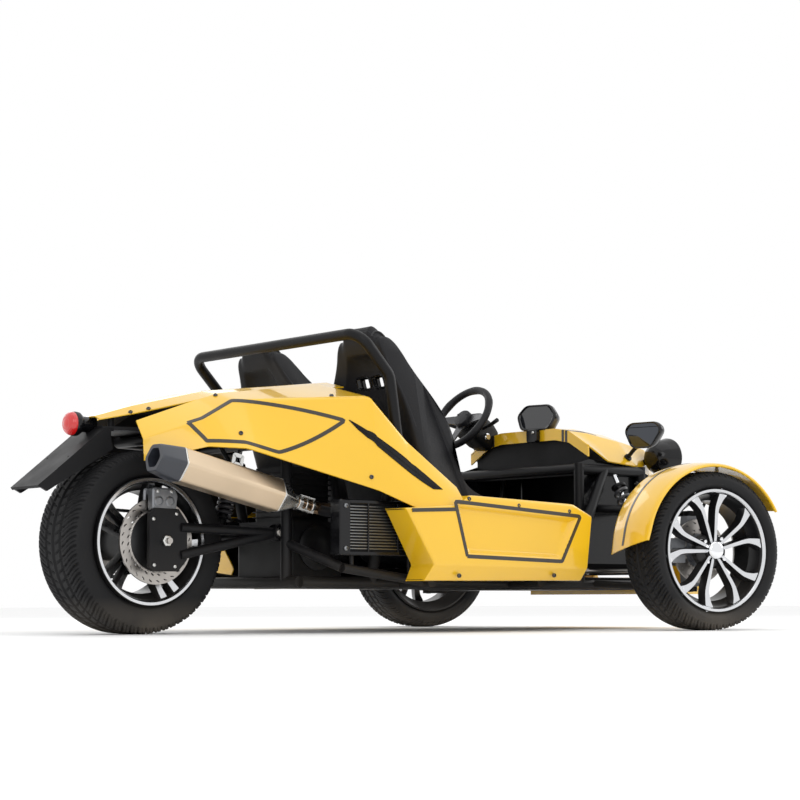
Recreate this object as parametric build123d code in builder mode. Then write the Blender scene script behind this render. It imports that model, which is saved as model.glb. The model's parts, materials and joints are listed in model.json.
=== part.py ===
"""Three-wheeled open roadster: two steered front wheels, one driven rear wheel, two bucket seats.

Millimetres. +X is forward, +Y is left, +Z is up, and the floor is Z = 0. The origin lies on the floor
under the middle of the vehicle's length. Stations along the vehicle are written from the rear axle.
"""

import os
from math import atan2, cos, degrees, hypot, radians, sin, sqrt

from build123d import *

os.makedirs("parts", exist_ok=True)

# Driving dimensions
WHEELBASE = 1945.0
FRONT_TRACK = 1580.0
FRONT_TYRE_R = 285.0
REAR_TYRE_R = 300.0
NOSE_OVERHANG = 460.0
TAIL_OVERHANG = REAR_TYRE_R + 108.0
SCRUB = 70.0
STEER_AT_REST = -11.7
FIT = 0.05
CLEAR = 0.4

# Stations of the two axles, with the origin under the middle of the length
REAR_X = (TAIL_OVERHANG - WHEELBASE - NOSE_OVERHANG) / 2
FRONT_X = REAR_X + WHEELBASE
NOSE_X = FRONT_X + NOSE_OVERHANG
KINGPIN_Y = FRONT_TRACK / 2 - SCRUB

# Front wheel
FRONT_TYRE_W = 204.0
FRONT_SIDEWALL = 64.0
FRONT_LIP_R = FRONT_TYRE_R - FRONT_SIDEWALL
FRONT_LIP_Z = 92.0
FRONT_DISC_R = FRONT_LIP_R - 106.0
FRONT_SPINDLE_R = 20.0

# Rear wheel
REAR_TYRE_W = 230.0
REAR_SIDEWALL = 91.0
REAR_LIP_R = REAR_TYRE_R - REAR_SIDEWALL
REAR_LIP_Z = 117.0
REAR_DISC_R = 140.0
REAR_DISC_Y = 140.0
REAR_AXLE_R = 12.0
SPROCKET_R = 105.0
SPROCKET_Y = 148.0

# Frame tubes
TUBE_R = 19.0
RAIL_Y = 330.0
RAIL_Z = FRONT_TYRE_R - 115.0
UPRIGHT_X = REAR_X + 445.0
UPRIGHT_Y = 255.0
TAIL_CLEARANCE = 40.0
UPPER_Z = 2 * REAR_TYRE_R + TAIL_CLEARANCE
FOOTWELL_X = FRONT_X - 175.0
BULKHEAD_X = FRONT_X + 165.0
ARM_SPREAD = 110.0
ARM_TUBE_R = 13.0
UPPER_ARM_Z = RAIL_Z + 280.0
DASH_RAIL_Z = RAIL_Z + 430.0

# Steering
STEER_ARM = 110.0
RACK_X = FRONT_X - 0.95 * STEER_ARM
RACK_Z = FRONT_TYRE_R - 70.0
RACK_HALF = 250.0
RACK_BAR_R = 11.0
RACK_SHIFT = -STEER_ARM * radians(STEER_AT_REST)
WHEEL_HUB = Vector(FRONT_X - 245.0, 240.0, DASH_RAIL_Z + 225.0)
COLUMN_TILT = 32.0
STEER_WHEEL_R = 135.0

# Swingarm
PIVOT_Z = REAR_TYRE_R + 35.0
PIVOT_R = 14.0
ARM_Y = 190.0
ARM_PLATE_T = 14.0

# Roll hoop and seats
HOOP_X = REAR_X + 0.3851 * WHEELBASE
HOOP_Y = 480.0
SEAT_X = HOOP_X + 191.0
SEAT_Y = 248.0
SEAT_HALF = 222.0
CUSHION_HALF = 145.0

# Side pods and body skin
SKIN = 14.0
POD_Y = 625.0
POD_INNER_Y = 500.0


def keep(piece, name):
    """Label a finished piece and write it to its own file."""
    piece.part.label = name
    export_step(piece.part, f"parts/{name}.step")


def rod(start, end, radius):
    """Add a straight round bar between two points to the part in hand."""
    axis = Vector(*end) - Vector(*start)
    with BuildSketch(Plane(start, z_dir=axis)) as round_section:
        Circle(radius)
    extrude(round_section.sketch, amount=axis.length)


def across(x):
    """The plane across the vehicle at a station, drawn with (left, up)."""
    return Plane(origin=(x, 0, 0), x_dir=(0, 1, 0), z_dir=(1, 0, 0))


def beside(y):
    """The upright plane along the vehicle, drawn with (forward, up)."""
    return Plane(origin=(0, y, 0), x_dir=(1, 0, 0), z_dir=(0, -1, 0))


def outline(plane, points):
    """A closed straight-sided face on a plane."""
    with BuildSketch(plane) as face:
        with BuildLine():
            Polyline(*points, close=True)
        make_face()
    return face.sketch


def slab(plane, points, thickness):
    """Add a straight-sided plate that is centred on its plane."""
    extrude(outline(plane, points), amount=thickness / 2, both=True)


# Wheels. Each is drawn about Z, with +Z outboard, and then turned onto its hub.
BEAD_DROP = 15.0
BEAD_INSET = 26.0


def tyre(tyre_r, tyre_w, lip_r):
    """Add a tyre that seats on its rim's beads: bulged sidewalls, rounded shoulders and a flat crown."""
    half = tyre_w / 2
    bead_r = lip_r - BEAD_DROP
    belt_r = tyre_r - 8.5
    with BuildSketch(Plane.XZ) as half_section:
        with BuildLine():
            for way in (-1, 1):
                Line((bead_r, way * (half - BEAD_INSET)), (lip_r + 1, way * (half - 24)))
                ThreePointArc((lip_r + 1, way * (half - 24)), (lip_r + 26, way * half), (belt_r, way * (half - 11)))
                ThreePointArc(
                    (belt_r, way * (half - 11)), (belt_r + 5.1, way * (half - 17.2)), (tyre_r, way * (half - 26))
                )
            Line((tyre_r, 26 - half), (tyre_r, half - 26))
            Line((bead_r, BEAD_INSET - half), (bead_r, half - BEAD_INSET))
        make_face()
    revolve(half_section.sketch, axis=Axis.Z)


with BuildPart() as front_tyre:
    tyre(FRONT_TYRE_R, FRONT_TYRE_W, FRONT_LIP_R)

RIM_WALL = 8.0
SPOKE_T = 22.0
HUB_R = 62.0
SPOKE_PAIRS = 5
front_seat_z = FRONT_TYRE_W / 2 - BEAD_INSET
# Spoke courses: radius as a share of the lip, angle from the pair's middle, half width
FRONT_SPOKES = ((0.24, 13.5, 8.0), (0.69, 11.8, 8.5), (0.91, 18.0, 14.0))
FRONT_PAIR_TURN = 98.0


def spoke_outline(courses, lip_r, side):
    """One spoke of a pair as a band through its courses, on the chosen side of the pair's middle."""
    edge_a = []
    edge_b = []
    for share, angle, half_width in courses:
        r = share * lip_r
        turn = radians(side * angle)
        middle = Vector(r * cos(turn), r * sin(turn))
        square = Vector(-sin(turn), cos(turn)) * half_width
        edge_a.append(tuple(middle + square)[:2])
        edge_b.append(tuple(middle - square)[:2])
    return edge_a + edge_b[::-1]


def rim(lip_r, lip_z, seat_z, courses, pair_turn, hub_r, inner_hub, outer_hub):
    """Add a wheel rim: barrel with two lips, spoke pairs behind the outer lip, and a solid hub."""
    bead_r = lip_r - BEAD_DROP
    well_r = bead_r - 18
    barrel = [
        (lip_r, -lip_z), (lip_r, -seat_z - 6), (bead_r, -seat_z), (bead_r, -seat_z + 14),
        (well_r, -seat_z + 34), (well_r, seat_z - 34), (bead_r, seat_z - 14), (bead_r, seat_z),
        (lip_r, seat_z + 6), (lip_r, lip_z), (lip_r - RIM_WALL, lip_z),
        (bead_r - RIM_WALL, seat_z), (bead_r - RIM_WALL, seat_z - 12), (well_r - RIM_WALL, seat_z - 34),
        (well_r - RIM_WALL, 34 - seat_z), (bead_r - RIM_WALL, 12 - seat_z), (bead_r - RIM_WALL, -seat_z),
        (lip_r - RIM_WALL, -lip_z),
    ]
    revolve(outline(Plane.XZ, barrel), axis=Axis.Z)
    spoke_top = lip_z - 8
    for side in (-1, 1):
        band = outline(Plane.XY.offset(spoke_top - SPOKE_T), spoke_outline(courses, lip_r, side))
        for pair in range(SPOKE_PAIRS):
            extrude(band.rotate(Axis.Z, pair_turn + pair * 360 / SPOKE_PAIRS), amount=SPOKE_T)
    with BuildSketch(Plane.XY.offset(inner_hub)) as hub:
        Circle(hub_r)
    extrude(hub.sketch, amount=outer_hub - inner_hub)


def bore(radius, start, end):
    """Cut a round bore about Z between two heights."""
    with BuildSketch(Plane.XY.offset(start)) as hole:
        Circle(radius)
    extrude(hole.sketch, amount=end - start, mode=Mode.SUBTRACT)


FRONT_HUB_IN = 16.0
FRONT_HUB_OUT = FRONT_LIP_Z - 8
with BuildPart() as front_rim:
    rim(FRONT_LIP_R, FRONT_LIP_Z, front_seat_z, FRONT_SPOKES, FRONT_PAIR_TURN, HUB_R, FRONT_HUB_IN, FRONT_HUB_OUT)
    bore(FRONT_SPINDLE_R + FIT, FRONT_HUB_IN, FRONT_HUB_OUT - 14)
    with BuildSketch(Plane.XY.offset(FRONT_HUB_OUT)) as cap:
        Circle(0.5 * HUB_R)
    extrude(cap.sketch, amount=10, taper=12)

DISC_T = 8.0
FRONT_DISC_Z = -18.0
with BuildPart() as front_disc:
    bell_r = FRONT_SPINDLE_R + 32
    disc_low = FRONT_DISC_Z - DISC_T / 2
    disc_high = FRONT_DISC_Z + DISC_T / 2
    disc_profile = [
        (FRONT_SPINDLE_R + 8, FRONT_HUB_IN), (bell_r, FRONT_HUB_IN), (bell_r, disc_high),
        (FRONT_DISC_R, disc_high), (FRONT_DISC_R, disc_low), (bell_r - 8, disc_low),
        (bell_r - 8, FRONT_HUB_IN - 8), (FRONT_SPINDLE_R + 8, FRONT_HUB_IN - 8),
    ]
    revolve(outline(Plane.XZ, disc_profile), axis=Axis.Z)

# Front corners. The corner frame has its origin on the steering axis at hub height.
BALL_Z = FRONT_LIP_R - 93.0
STUD_R = 9.0
STUD_LENGTH = 20.0
UPRIGHT_T = 36.0
CALIPER_GAP = 5.0


def knuckle_form():
    """Add the right knuckle in its corner frame: upright, spindle, caliper, steering arm and studs."""
    slab(beside(0), [(-30, -BALL_Z), (30, -BALL_Z), (42, 0), (26, BALL_Z), (-26, BALL_Z), (-42, 0)], UPRIGHT_T)
    rod((0, 0, 0), (0, -SCRUB - FRONT_HUB_OUT + 26, 0), FRONT_SPINDLE_R)
    for way in (-1, 1):
        rod((0, 0, way * BALL_Z), (0, 0, way * (BALL_Z + STUD_LENGTH)), STUD_R)
    arm_low = -53.0
    with BuildSketch(Plane.XY.offset(arm_low)) as arm:
        with BuildLine():
            Polyline((-20, -12), (-STEER_ARM, -10), (-STEER_ARM, 10), (-20, 14), close=True)
        make_face()
        with Locations((-STEER_ARM, 0)):
            Circle(18)
    extrude(arm.sketch, amount=16)
    disc_y = -SCRUB - FRONT_DISC_Z
    caliper_in = disc_y + DISC_T / 2 + CALIPER_GAP + 22
    caliper_out = disc_y - DISC_T / 2 - CALIPER_GAP - 22
    caliper_r = FRONT_DISC_R + 32
    extrude(
        outline(
            beside(caliper_in),
            [(-caliper_r, -34), (-caliper_r + 8, -44), (-84, -44), (-84, 44), (-caliper_r + 8, 44), (-caliper_r, 34)],
        ),
        amount=caliper_in - caliper_out,
    )
    with BuildSketch(beside(disc_y + DISC_T / 2 + CALIPER_GAP)) as slot:
        Circle(FRONT_DISC_R + CALIPER_GAP)
    extrude(slot.sketch, amount=DISC_T + 2 * CALIPER_GAP, mode=Mode.SUBTRACT)
    rod((0, 0, 0), (0, disc_y - 8 - DISC_T, 0), FRONT_SPINDLE_R)
    slab(beside(caliper_in + 2), [(-90, -26), (-90, 26), (-20, 30), (-20, -30)], 24)


FENDER_IN_R = FRONT_TYRE_R + 15
FENDER_T = 8.0
FENDER_OUT = 100.0
FENDER_IN = 122.0
FENDER_FROM = 28.0
FENDER_TO = 178.0
FENDER_STAY_R = 6.0
FENDER_STAYS = (60, 130)


def fender_form():
    """Add the right cycle mudguard in its corner frame, with its stay down to the knuckle."""
    ring = [
        (FENDER_IN_R, -FENDER_OUT), (FENDER_IN_R + FENDER_T, -FENDER_OUT), (FENDER_IN_R + FENDER_T + 8, 0),
        (FENDER_IN_R + FENDER_T, FENDER_IN), (FENDER_IN_R, FENDER_IN), (FENDER_IN_R + 8, 0),
    ]
    arc_plane = Plane(origin=(0, -SCRUB, 0), x_dir=(1, 0, 0), z_dir=(0, 0, 1))
    hoop = outline(arc_plane, ring)
    turned = hoop.rotate(Axis((0, -SCRUB, 0), (0, 1, 0)), -FENDER_FROM)
    revolve(turned, axis=Axis((0, -SCRUB, 0), (0, -1, 0)), revolution_arc=FENDER_TO - FENDER_FROM)
    stay_y = -SCRUB + FRONT_TYRE_W / 2 + CALIPER_GAP + FENDER_STAY_R
    for angle in FENDER_STAYS:
        reach = FENDER_IN_R + FENDER_T / 2
        foot = (-24 * cos(radians(angle)), UPRIGHT_T / 2, 70)
        knee = (0.55 * reach * cos(radians(angle)), stay_y, 0.55 * reach * sin(radians(angle)))
        rod(foot, knee, FENDER_STAY_R)
        rod(knee, (reach * cos(radians(angle)), stay_y, reach * sin(radians(angle))), FENDER_STAY_R)


right_corner = Location((FRONT_X, -KINGPIN_Y, FRONT_TYRE_R), (0, 0, STEER_AT_REST))
left_corner = Location((FRONT_X, KINGPIN_Y, FRONT_TYRE_R), (0, 0, STEER_AT_REST))

with BuildPart() as knuckle_right_form:
    knuckle_form()
with BuildPart() as knuckle_left_form:
    mirror(knuckle_right_form.part, about=Plane.XZ)
with BuildPart() as fender_right_form:
    fender_form()
    add(knuckle_right_form.part, mode=Mode.SUBTRACT)
with BuildPart() as fender_left_form:
    mirror(fender_right_form.part, about=Plane.XZ)

corner_pieces = {
    "knuckle_right": (right_corner, knuckle_right_form),
    "knuckle_left": (left_corner, knuckle_left_form),
    "fender_right": (right_corner, fender_right_form),
    "fender_left": (left_corner, fender_left_form),
}
right_hub = right_corner * Location((0, -SCRUB, 0), (90, 0, 0))
left_hub = left_corner * Location((0, SCRUB, 0), (-90, 0, 0))
for side, hub in (("right", right_hub), ("left", left_hub)):
    corner_pieces[f"front_rim_{side}"] = (hub, front_rim)
    corner_pieces[f"front_tyre_{side}"] = (hub, front_tyre)
    corner_pieces[f"front_disc_{side}"] = (hub, front_disc)
for name, (place, form) in corner_pieces.items():
    with BuildPart() as corner_piece:
        with Locations(place):
            add(form.part)
    keep(corner_piece, name)


# Rear wheel
REAR_SPOKES = ((0.26, 14.0, 10.0), (0.42, 10.4, 9.0), (0.92, 8.2, 10.0))
REAR_PAIR_TURN = 80.0
rear_seat_z = REAR_TYRE_W / 2 - BEAD_INSET
REAR_HUB_R = 58.0
REAR_DISC_T = 7.0
rear_hub = Location((REAR_X, 0, REAR_TYRE_R), (90, 0, 0))
hub_out = REAR_DISC_Y - REAR_DISC_T / 2
hub_in = SPROCKET_Y - 6

with BuildPart() as rear_rim:
    rim(REAR_LIP_R, REAR_LIP_Z, rear_seat_z, REAR_SPOKES, REAR_PAIR_TURN, REAR_HUB_R, -hub_in, hub_out)
    bore(REAR_AXLE_R + FIT, -hub_in, hub_out)
with BuildPart() as rear_tyre:
    tyre(REAR_TYRE_R, REAR_TYRE_W, REAR_LIP_R)
with BuildPart() as rear_disc:
    with BuildSketch(Plane.XY.offset(hub_out)):
        Circle(REAR_DISC_R)
        Circle(REAR_AXLE_R + 8, mode=Mode.SUBTRACT)
    extrude(amount=REAR_DISC_T)
SPROCKET_TEETH = 34
SPROCKET_T = 7.0
TOOTH_H = 7.0
TOOTH_W = 13.0
with BuildPart() as rear_sprocket:
    with BuildSketch(Plane.XY.offset(-hub_in - SPROCKET_T)):
        Circle(SPROCKET_R - TOOTH_H)
        with PolarLocations(SPROCKET_R - TOOTH_H, SPROCKET_TEETH):
            Trapezoid(TOOTH_W, 2 * TOOTH_H, 68, rotation=-90)
        Circle(REAR_AXLE_R + 8, mode=Mode.SUBTRACT)
    extrude(amount=SPROCKET_T)
rear_pieces = {
    "rear_rim": rear_rim,
    "rear_tyre": rear_tyre,
    "rear_disc": rear_disc,
    "rear_sprocket": rear_sprocket,
}
for name, form in rear_pieces.items():
    with BuildPart() as rear_piece:
        with Locations(rear_hub):
            add(form.part)
    keep(rear_piece, name)

# Chassis tubes
TAIL_RAIL_X = REAR_X + 40.0
TAIL_RAIL_Y = 150.0
with BuildPart() as frame_rails:
    for side in (-1, 1):
        rod((UPRIGHT_X, side * RAIL_Y, RAIL_Z), (BULKHEAD_X + 60, side * RAIL_Y, RAIL_Z), TUBE_R)

with BuildPart() as roll_hoop:
    with BuildLine():
        FilletPolyline(
            (HOOP_X, -RAIL_Y, RAIL_Z),
            (HOOP_X, -HOOP_Y + 5, UPPER_Z),
            (HOOP_X - 41, -HOOP_Y, UPPER_Z + 224),
            (HOOP_X - 173, -HOOP_Y, UPPER_Z + 358),
            (HOOP_X - 173, HOOP_Y, UPPER_Z + 358),
            (HOOP_X - 41, HOOP_Y, UPPER_Z + 224),
            (HOOP_X, HOOP_Y - 5, UPPER_Z),
            (HOOP_X, RAIL_Y, RAIL_Z),
            radius=60,
        )
    with BuildSketch(Plane((HOOP_X, -RAIL_Y, RAIL_Z), z_dir=(0, 5 - HOOP_Y + RAIL_Y, UPPER_Z - RAIL_Z))):
        Circle(TUBE_R)
    sweep()
    add(frame_rails.part, mode=Mode.SUBTRACT)
keep(roll_hoop, "roll_hoop")

SEAT_CROSS_X = SEAT_X - 60.0
SILL_CROSS_X = SEAT_X + 460.0
with BuildPart() as floor_crossmembers:
    for x in (UPRIGHT_X, SEAT_CROSS_X, SILL_CROSS_X, RACK_X, BULKHEAD_X):
        rod((x, -RAIL_Y, RAIL_Z), (x, RAIL_Y, RAIL_Z), TUBE_R)
    for x in (SEAT_CROSS_X, SILL_CROSS_X):
        for side in (-1, 1):
            rod((x, side * RAIL_Y, RAIL_Z), (x, side * POD_INNER_Y, RAIL_Z), TUBE_R)
    add(frame_rails.part, mode=Mode.SUBTRACT)

with BuildPart() as frame_uprights:
    for side in (-1, 1):
        rod((UPRIGHT_X, side * UPRIGHT_Y, RAIL_Z), (UPRIGHT_X, side * UPRIGHT_Y, UPPER_Z), TUBE_R)
    add(floor_crossmembers.part, mode=Mode.SUBTRACT)
with BuildPart() as frame_lengthwise:
    add(frame_rails.part)
    add(frame_uprights.part)
keep(frame_lengthwise, "frame_rails")

BRACE_FOOT = Vector(SEAT_X + 660, 440, RAIL_Z + TUBE_R + 4)
BRACE_HEAD = Vector(FRONT_X - 40, RAIL_Y, DASH_RAIL_Z)
with BuildPart() as front_uprights:
    for side in (-1, 1):
        for x in (FOOTWELL_X, BULKHEAD_X):
            rod((x, side * RAIL_Y, RAIL_Z), (x, side * RAIL_Y, DASH_RAIL_Z + TUBE_R), TUBE_R)
    add(frame_rails.part, mode=Mode.SUBTRACT)
    add(floor_crossmembers.part, mode=Mode.SUBTRACT)

with BuildPart() as frame_tail:
    for side in (-1, 1):
        rod((TAIL_RAIL_X, side * TAIL_RAIL_Y, UPPER_Z), (UPRIGHT_X, side * UPRIGHT_Y, UPPER_Z), TUBE_R)
    add(frame_uprights.part, mode=Mode.SUBTRACT)
keep(frame_tail, "frame_tail")

with BuildPart() as frame_upper_rails:
    for side in (-1, 1):
        for z in (UPPER_ARM_Z, DASH_RAIL_Z):
            rod((FOOTWELL_X, side * RAIL_Y, z), (BULKHEAD_X, side * RAIL_Y, z), TUBE_R)
        rod((UPRIGHT_X, side * UPRIGHT_Y, UPPER_Z), (HOOP_X, side * (HOOP_Y - 5), UPPER_Z), TUBE_R)
    for neighbour in (front_uprights, frame_uprights, frame_tail, roll_hoop):
        add(neighbour.part, mode=Mode.SUBTRACT)
keep(frame_upper_rails, "frame_upper_rails")

with BuildPart() as frame_front:
    add(front_uprights.part)
    for side in (-1, 1):
        head = (BRACE_HEAD.X, side * BRACE_HEAD.Y, BRACE_HEAD.Z)
        foot = (BRACE_FOOT.X, side * BRACE_FOOT.Y, BRACE_FOOT.Z)
        rod(head, foot, TUBE_R)
    add(frame_upper_rails.part, mode=Mode.SUBTRACT)
    with BuildSketch(Plane.XY.offset(BRACE_FOOT.Z)):
        Rectangle(4 * WHEELBASE, 4 * POD_INNER_Y)
    extrude(amount=-TUBE_R, mode=Mode.SUBTRACT)
    add(front_uprights.part)
keep(frame_front, "frame_front")

with BuildPart() as frame_crossmembers:
    add(floor_crossmembers.part)
    for x in (FOOTWELL_X, BULKHEAD_X):
        rod((x, -RAIL_Y, DASH_RAIL_Z), (x, RAIL_Y, DASH_RAIL_Z), TUBE_R)
    rod((TAIL_RAIL_X, -TAIL_RAIL_Y, UPPER_Z), (TAIL_RAIL_X, TAIL_RAIL_Y, UPPER_Z), TUBE_R)
    rod((UPRIGHT_X, -UPRIGHT_Y, UPPER_Z), (UPRIGHT_X, UPRIGHT_Y, UPPER_Z), TUBE_R)
    for neighbour in (frame_front, frame_tail, frame_upper_rails, frame_uprights):
        add(neighbour.part, mode=Mode.SUBTRACT)
keep(frame_crossmembers, "frame_crossmembers")

PIVOT_X = UPRIGHT_X - 4.0
with BuildPart() as swingarm_pivot:
    rod((PIVOT_X, -UPRIGHT_Y, PIVOT_Z), (PIVOT_X, UPRIGHT_Y, PIVOT_Z), PIVOT_R)
    add(frame_uprights.part, mode=Mode.SUBTRACT)

# Swingarm, rear axle, brake and chain
swing_plate = [(-62, 92), (-40, 106), (50, 104), (84, 60), (84, -60), (50, -98), (-50, -98), (-62, -80)]
BRIDGE_X = REAR_X + REAR_TYRE_R + 45
SWING_TUBE_R = 16.0
AXLE_END_R = REAR_AXLE_R - 2
AXLE_END_L = 27.0
with BuildPart() as rear_axle:
    plate_face = ARM_Y + ARM_PLATE_T / 2
    axle_tip = plate_face + AXLE_END_L
    rod((REAR_X, -plate_face, REAR_TYRE_R), (REAR_X, plate_face, REAR_TYRE_R), REAR_AXLE_R)
    rod((REAR_X, -axle_tip, REAR_TYRE_R), (REAR_X, axle_tip, REAR_TYRE_R), AXLE_END_R)
with BuildPart() as rear_shafts:
    add(rear_axle.part)
    add(swingarm_pivot.part)
keep(rear_shafts, "rear_shafts")
with BuildPart() as swingarm:
    for side in (-1, 1):
        plate = [(REAR_X + x, REAR_TYRE_R + z) for x, z in swing_plate]
        slab(beside(side * ARM_Y), plate, ARM_PLATE_T)
        for rise in (45, -45):
            rod(
                (REAR_X + 60, side * ARM_Y, REAR_TYRE_R + rise),
                (PIVOT_X, side * (ARM_Y + 22), PIVOT_Z),
                SWING_TUBE_R,
            )
        rod((PIVOT_X, side * (ARM_Y + 2), PIVOT_Z), (PIVOT_X, side * (ARM_Y + 42), PIVOT_Z), PIVOT_R + 14)
    rod((BRIDGE_X, -ARM_Y - 12, PIVOT_Z - 10), (BRIDGE_X, ARM_Y + 12, PIVOT_Z - 10), SWING_TUBE_R)
    add(rear_shafts.part, mode=Mode.SUBTRACT)
keep(swingarm, "swingarm")

with BuildPart() as rear_shock:
    lower_eye = (BRIDGE_X, 0, PIVOT_Z - 10)
    upper_eye = (UPRIGHT_X, 0, UPPER_Z)
    rod(lower_eye, upper_eye, 10)
    reach = Vector(*upper_eye) - Vector(*lower_eye)
    rod(tuple(Vector(*lower_eye) + reach * 0.2), tuple(Vector(*lower_eye) + reach * 0.8), 32)
    add(swingarm.part, mode=Mode.SUBTRACT)
    add(frame_crossmembers.part, mode=Mode.SUBTRACT)

REAR_CALIPER_GAP = 5.0
with BuildPart() as rear_caliper:
    caliper_out = -REAR_DISC_Y - REAR_DISC_T / 2 - REAR_CALIPER_GAP
    caliper_in = -REAR_DISC_Y + REAR_DISC_T / 2 + REAR_CALIPER_GAP
    grip = [
        (REAR_X - 40, REAR_TYRE_R + 98), (REAR_X - 40, REAR_TYRE_R + 172), (REAR_X + 44, REAR_TYRE_R + 172),
        (REAR_X + 60, REAR_TYRE_R + 150), (REAR_X + 52, REAR_TYRE_R + 98),
    ]
    extrude(outline(beside(caliper_in + 14), grip), amount=caliper_in + 14 + ARM_Y - ARM_PLATE_T / 2)
    with BuildSketch(beside(caliper_in)) as slot:
        with Locations((REAR_X, REAR_TYRE_R)):
            Circle(REAR_DISC_R + REAR_CALIPER_GAP)
    extrude(slot.sketch, amount=caliper_in - caliper_out, mode=Mode.SUBTRACT)
    add(swingarm.part, mode=Mode.SUBTRACT)
keep(rear_caliper, "rear_caliper")

# Engine with its output sprocket, and the chain round both sprockets
ENGINE_X = REAR_X + 600.0
FRONT_SPROCKET_R = 40.0
FRONT_SPROCKET_X = REAR_X + 520.0
FRONT_SPROCKET_Z = PIVOT_Z + 10.0
CHAIN_H = 14.0
CHAIN_W = 14.0
chain_y = hub_in + SPROCKET_T / 2
with BuildPart() as engine:
    with BuildSketch(Plane.XY.offset(RAIL_Z + TUBE_R)):
        with Locations((ENGINE_X + 40, -20)):
            RectangleRounded(250, 300, 30)
    extrude(amount=190)
    with BuildSketch(Plane.XY.offset(RAIL_Z + TUBE_R + 190)):
        with Locations((ENGINE_X + 50, -20)):
            RectangleRounded(190, 200, 25)
    extrude(amount=190)
    rod((FRONT_SPROCKET_X, 0, FRONT_SPROCKET_Z), (FRONT_SPROCKET_X, chain_y + 12, FRONT_SPROCKET_Z), 14)
    rod(
        (FRONT_SPROCKET_X, chain_y - 4, FRONT_SPROCKET_Z), (FRONT_SPROCKET_X, chain_y + 4, FRONT_SPROCKET_Z),
        FRONT_SPROCKET_R,
    )
keep(engine, "engine")

run_x = FRONT_SPROCKET_X - REAR_X
run_z = FRONT_SPROCKET_Z - REAR_TYRE_R
run = hypot(run_x, run_z)
lean = degrees(atan2(run_z, run_x))


def belt_outline(rear_r, front_r):
    """The outline of a belt round two wheels, drawn on a plane whose X runs from the rear to the front one."""
    slope = (rear_r - front_r) / run
    rise = sqrt(1 - slope * slope)
    with BuildSketch() as belt:
        with BuildLine():
            rear_top = (rear_r * slope, rear_r * rise)
            rear_low = (rear_r * slope, -rear_r * rise)
            front_top = (run + front_r * slope, front_r * rise)
            front_low = (run + front_r * slope, -front_r * rise)
            Line(rear_top, front_top)
            ThreePointArc(front_top, (run + front_r, 0), front_low)
            Line(front_low, rear_low)
            ThreePointArc(rear_low, (-rear_r, 0), rear_top)
        make_face()
    return belt.sketch


chain_plane = Plane(
    origin=(REAR_X, chain_y + CHAIN_W / 2, REAR_TYRE_R),
    x_dir=(cos(radians(lean)), 0, sin(radians(lean))),
    z_dir=(0, -1, 0),
)
CHAIN_GAP = 1.5
with BuildPart() as drive_chain:
    with BuildSketch(chain_plane):
        add(belt_outline(SPROCKET_R + CHAIN_GAP + CHAIN_H, FRONT_SPROCKET_R + CHAIN_H))
        add(belt_outline(SPROCKET_R + CHAIN_GAP, FRONT_SPROCKET_R), mode=Mode.SUBTRACT)
    extrude(amount=CHAIN_W)
keep(drive_chain, "drive_chain")

# Exhaust on the right side
MUFFLER_Y = -345.0
MUFFLER_R = 64.0
muffler_tip = Vector(REAR_X - 148, MUFFLER_Y, UPPER_Z - 85)
muffler_front = Vector(REAR_X + 334, MUFFLER_Y, UPPER_Z - 190)
muffler_axis = muffler_front - muffler_tip
muffler_plane = Plane(muffler_tip, x_dir=(0, 1, 0), z_dir=muffler_axis)
TIP_LENGTH = 88.0
HANGER_X = REAR_X + 195.0
CONE_LENGTH = 80.0
PIPE_R = 21.0
with BuildPart() as muffler:
    with BuildSketch(muffler_plane.offset(TIP_LENGTH)):
        RegularPolygon(MUFFLER_R, 6)
    extrude(amount=muffler_axis.length - TIP_LENGTH)
    with BuildSketch(muffler_plane.offset(muffler_axis.length)):
        RegularPolygon(MUFFLER_R, 6)
    with BuildSketch(muffler_plane.offset(muffler_axis.length + CONE_LENGTH)):
        RegularPolygon(PIPE_R + 4, 6)
    loft()
    rod((HANGER_X, MUFFLER_Y, UPPER_Z - 150), (HANGER_X, -195, UPPER_Z), 8)
    add(frame_tail.part, mode=Mode.SUBTRACT)
keep(muffler, "muffler")
with BuildPart() as muffler_cap:
    with BuildSketch(muffler_plane):
        RegularPolygon(0.8 * MUFFLER_R, 6)
    with BuildSketch(muffler_plane.offset(TIP_LENGTH)):
        RegularPolygon(MUFFLER_R, 6)
    loft()
    with BuildSketch(muffler_plane):
        Circle(0.52 * MUFFLER_R)
    extrude(amount=0.7 * TIP_LENGTH, mode=Mode.SUBTRACT)
keep(muffler_cap, "muffler_cap")
muffler_end = muffler_tip + muffler_axis.normalized() * (muffler_axis.length + CONE_LENGTH)
with BuildPart() as exhaust_pipe:
    pipe_knee = muffler_end + muffler_axis.normalized() * 110
    port = Vector(ENGINE_X + 60, -105, RAIL_Z + 250)
    with BuildLine():
        FilletPolyline(tuple(muffler_end), tuple(pipe_knee), (port.X, MUFFLER_Y + 20, port.Z), tuple(port), radius=40)
    with BuildSketch(Plane(muffler_end, z_dir=muffler_axis)):
        Circle(PIPE_R)
    sweep()
    add(engine.part, mode=Mode.SUBTRACT)
    add(muffler.part, mode=Mode.SUBTRACT)
keep(exhaust_pipe, "exhaust_pipe")

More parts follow.
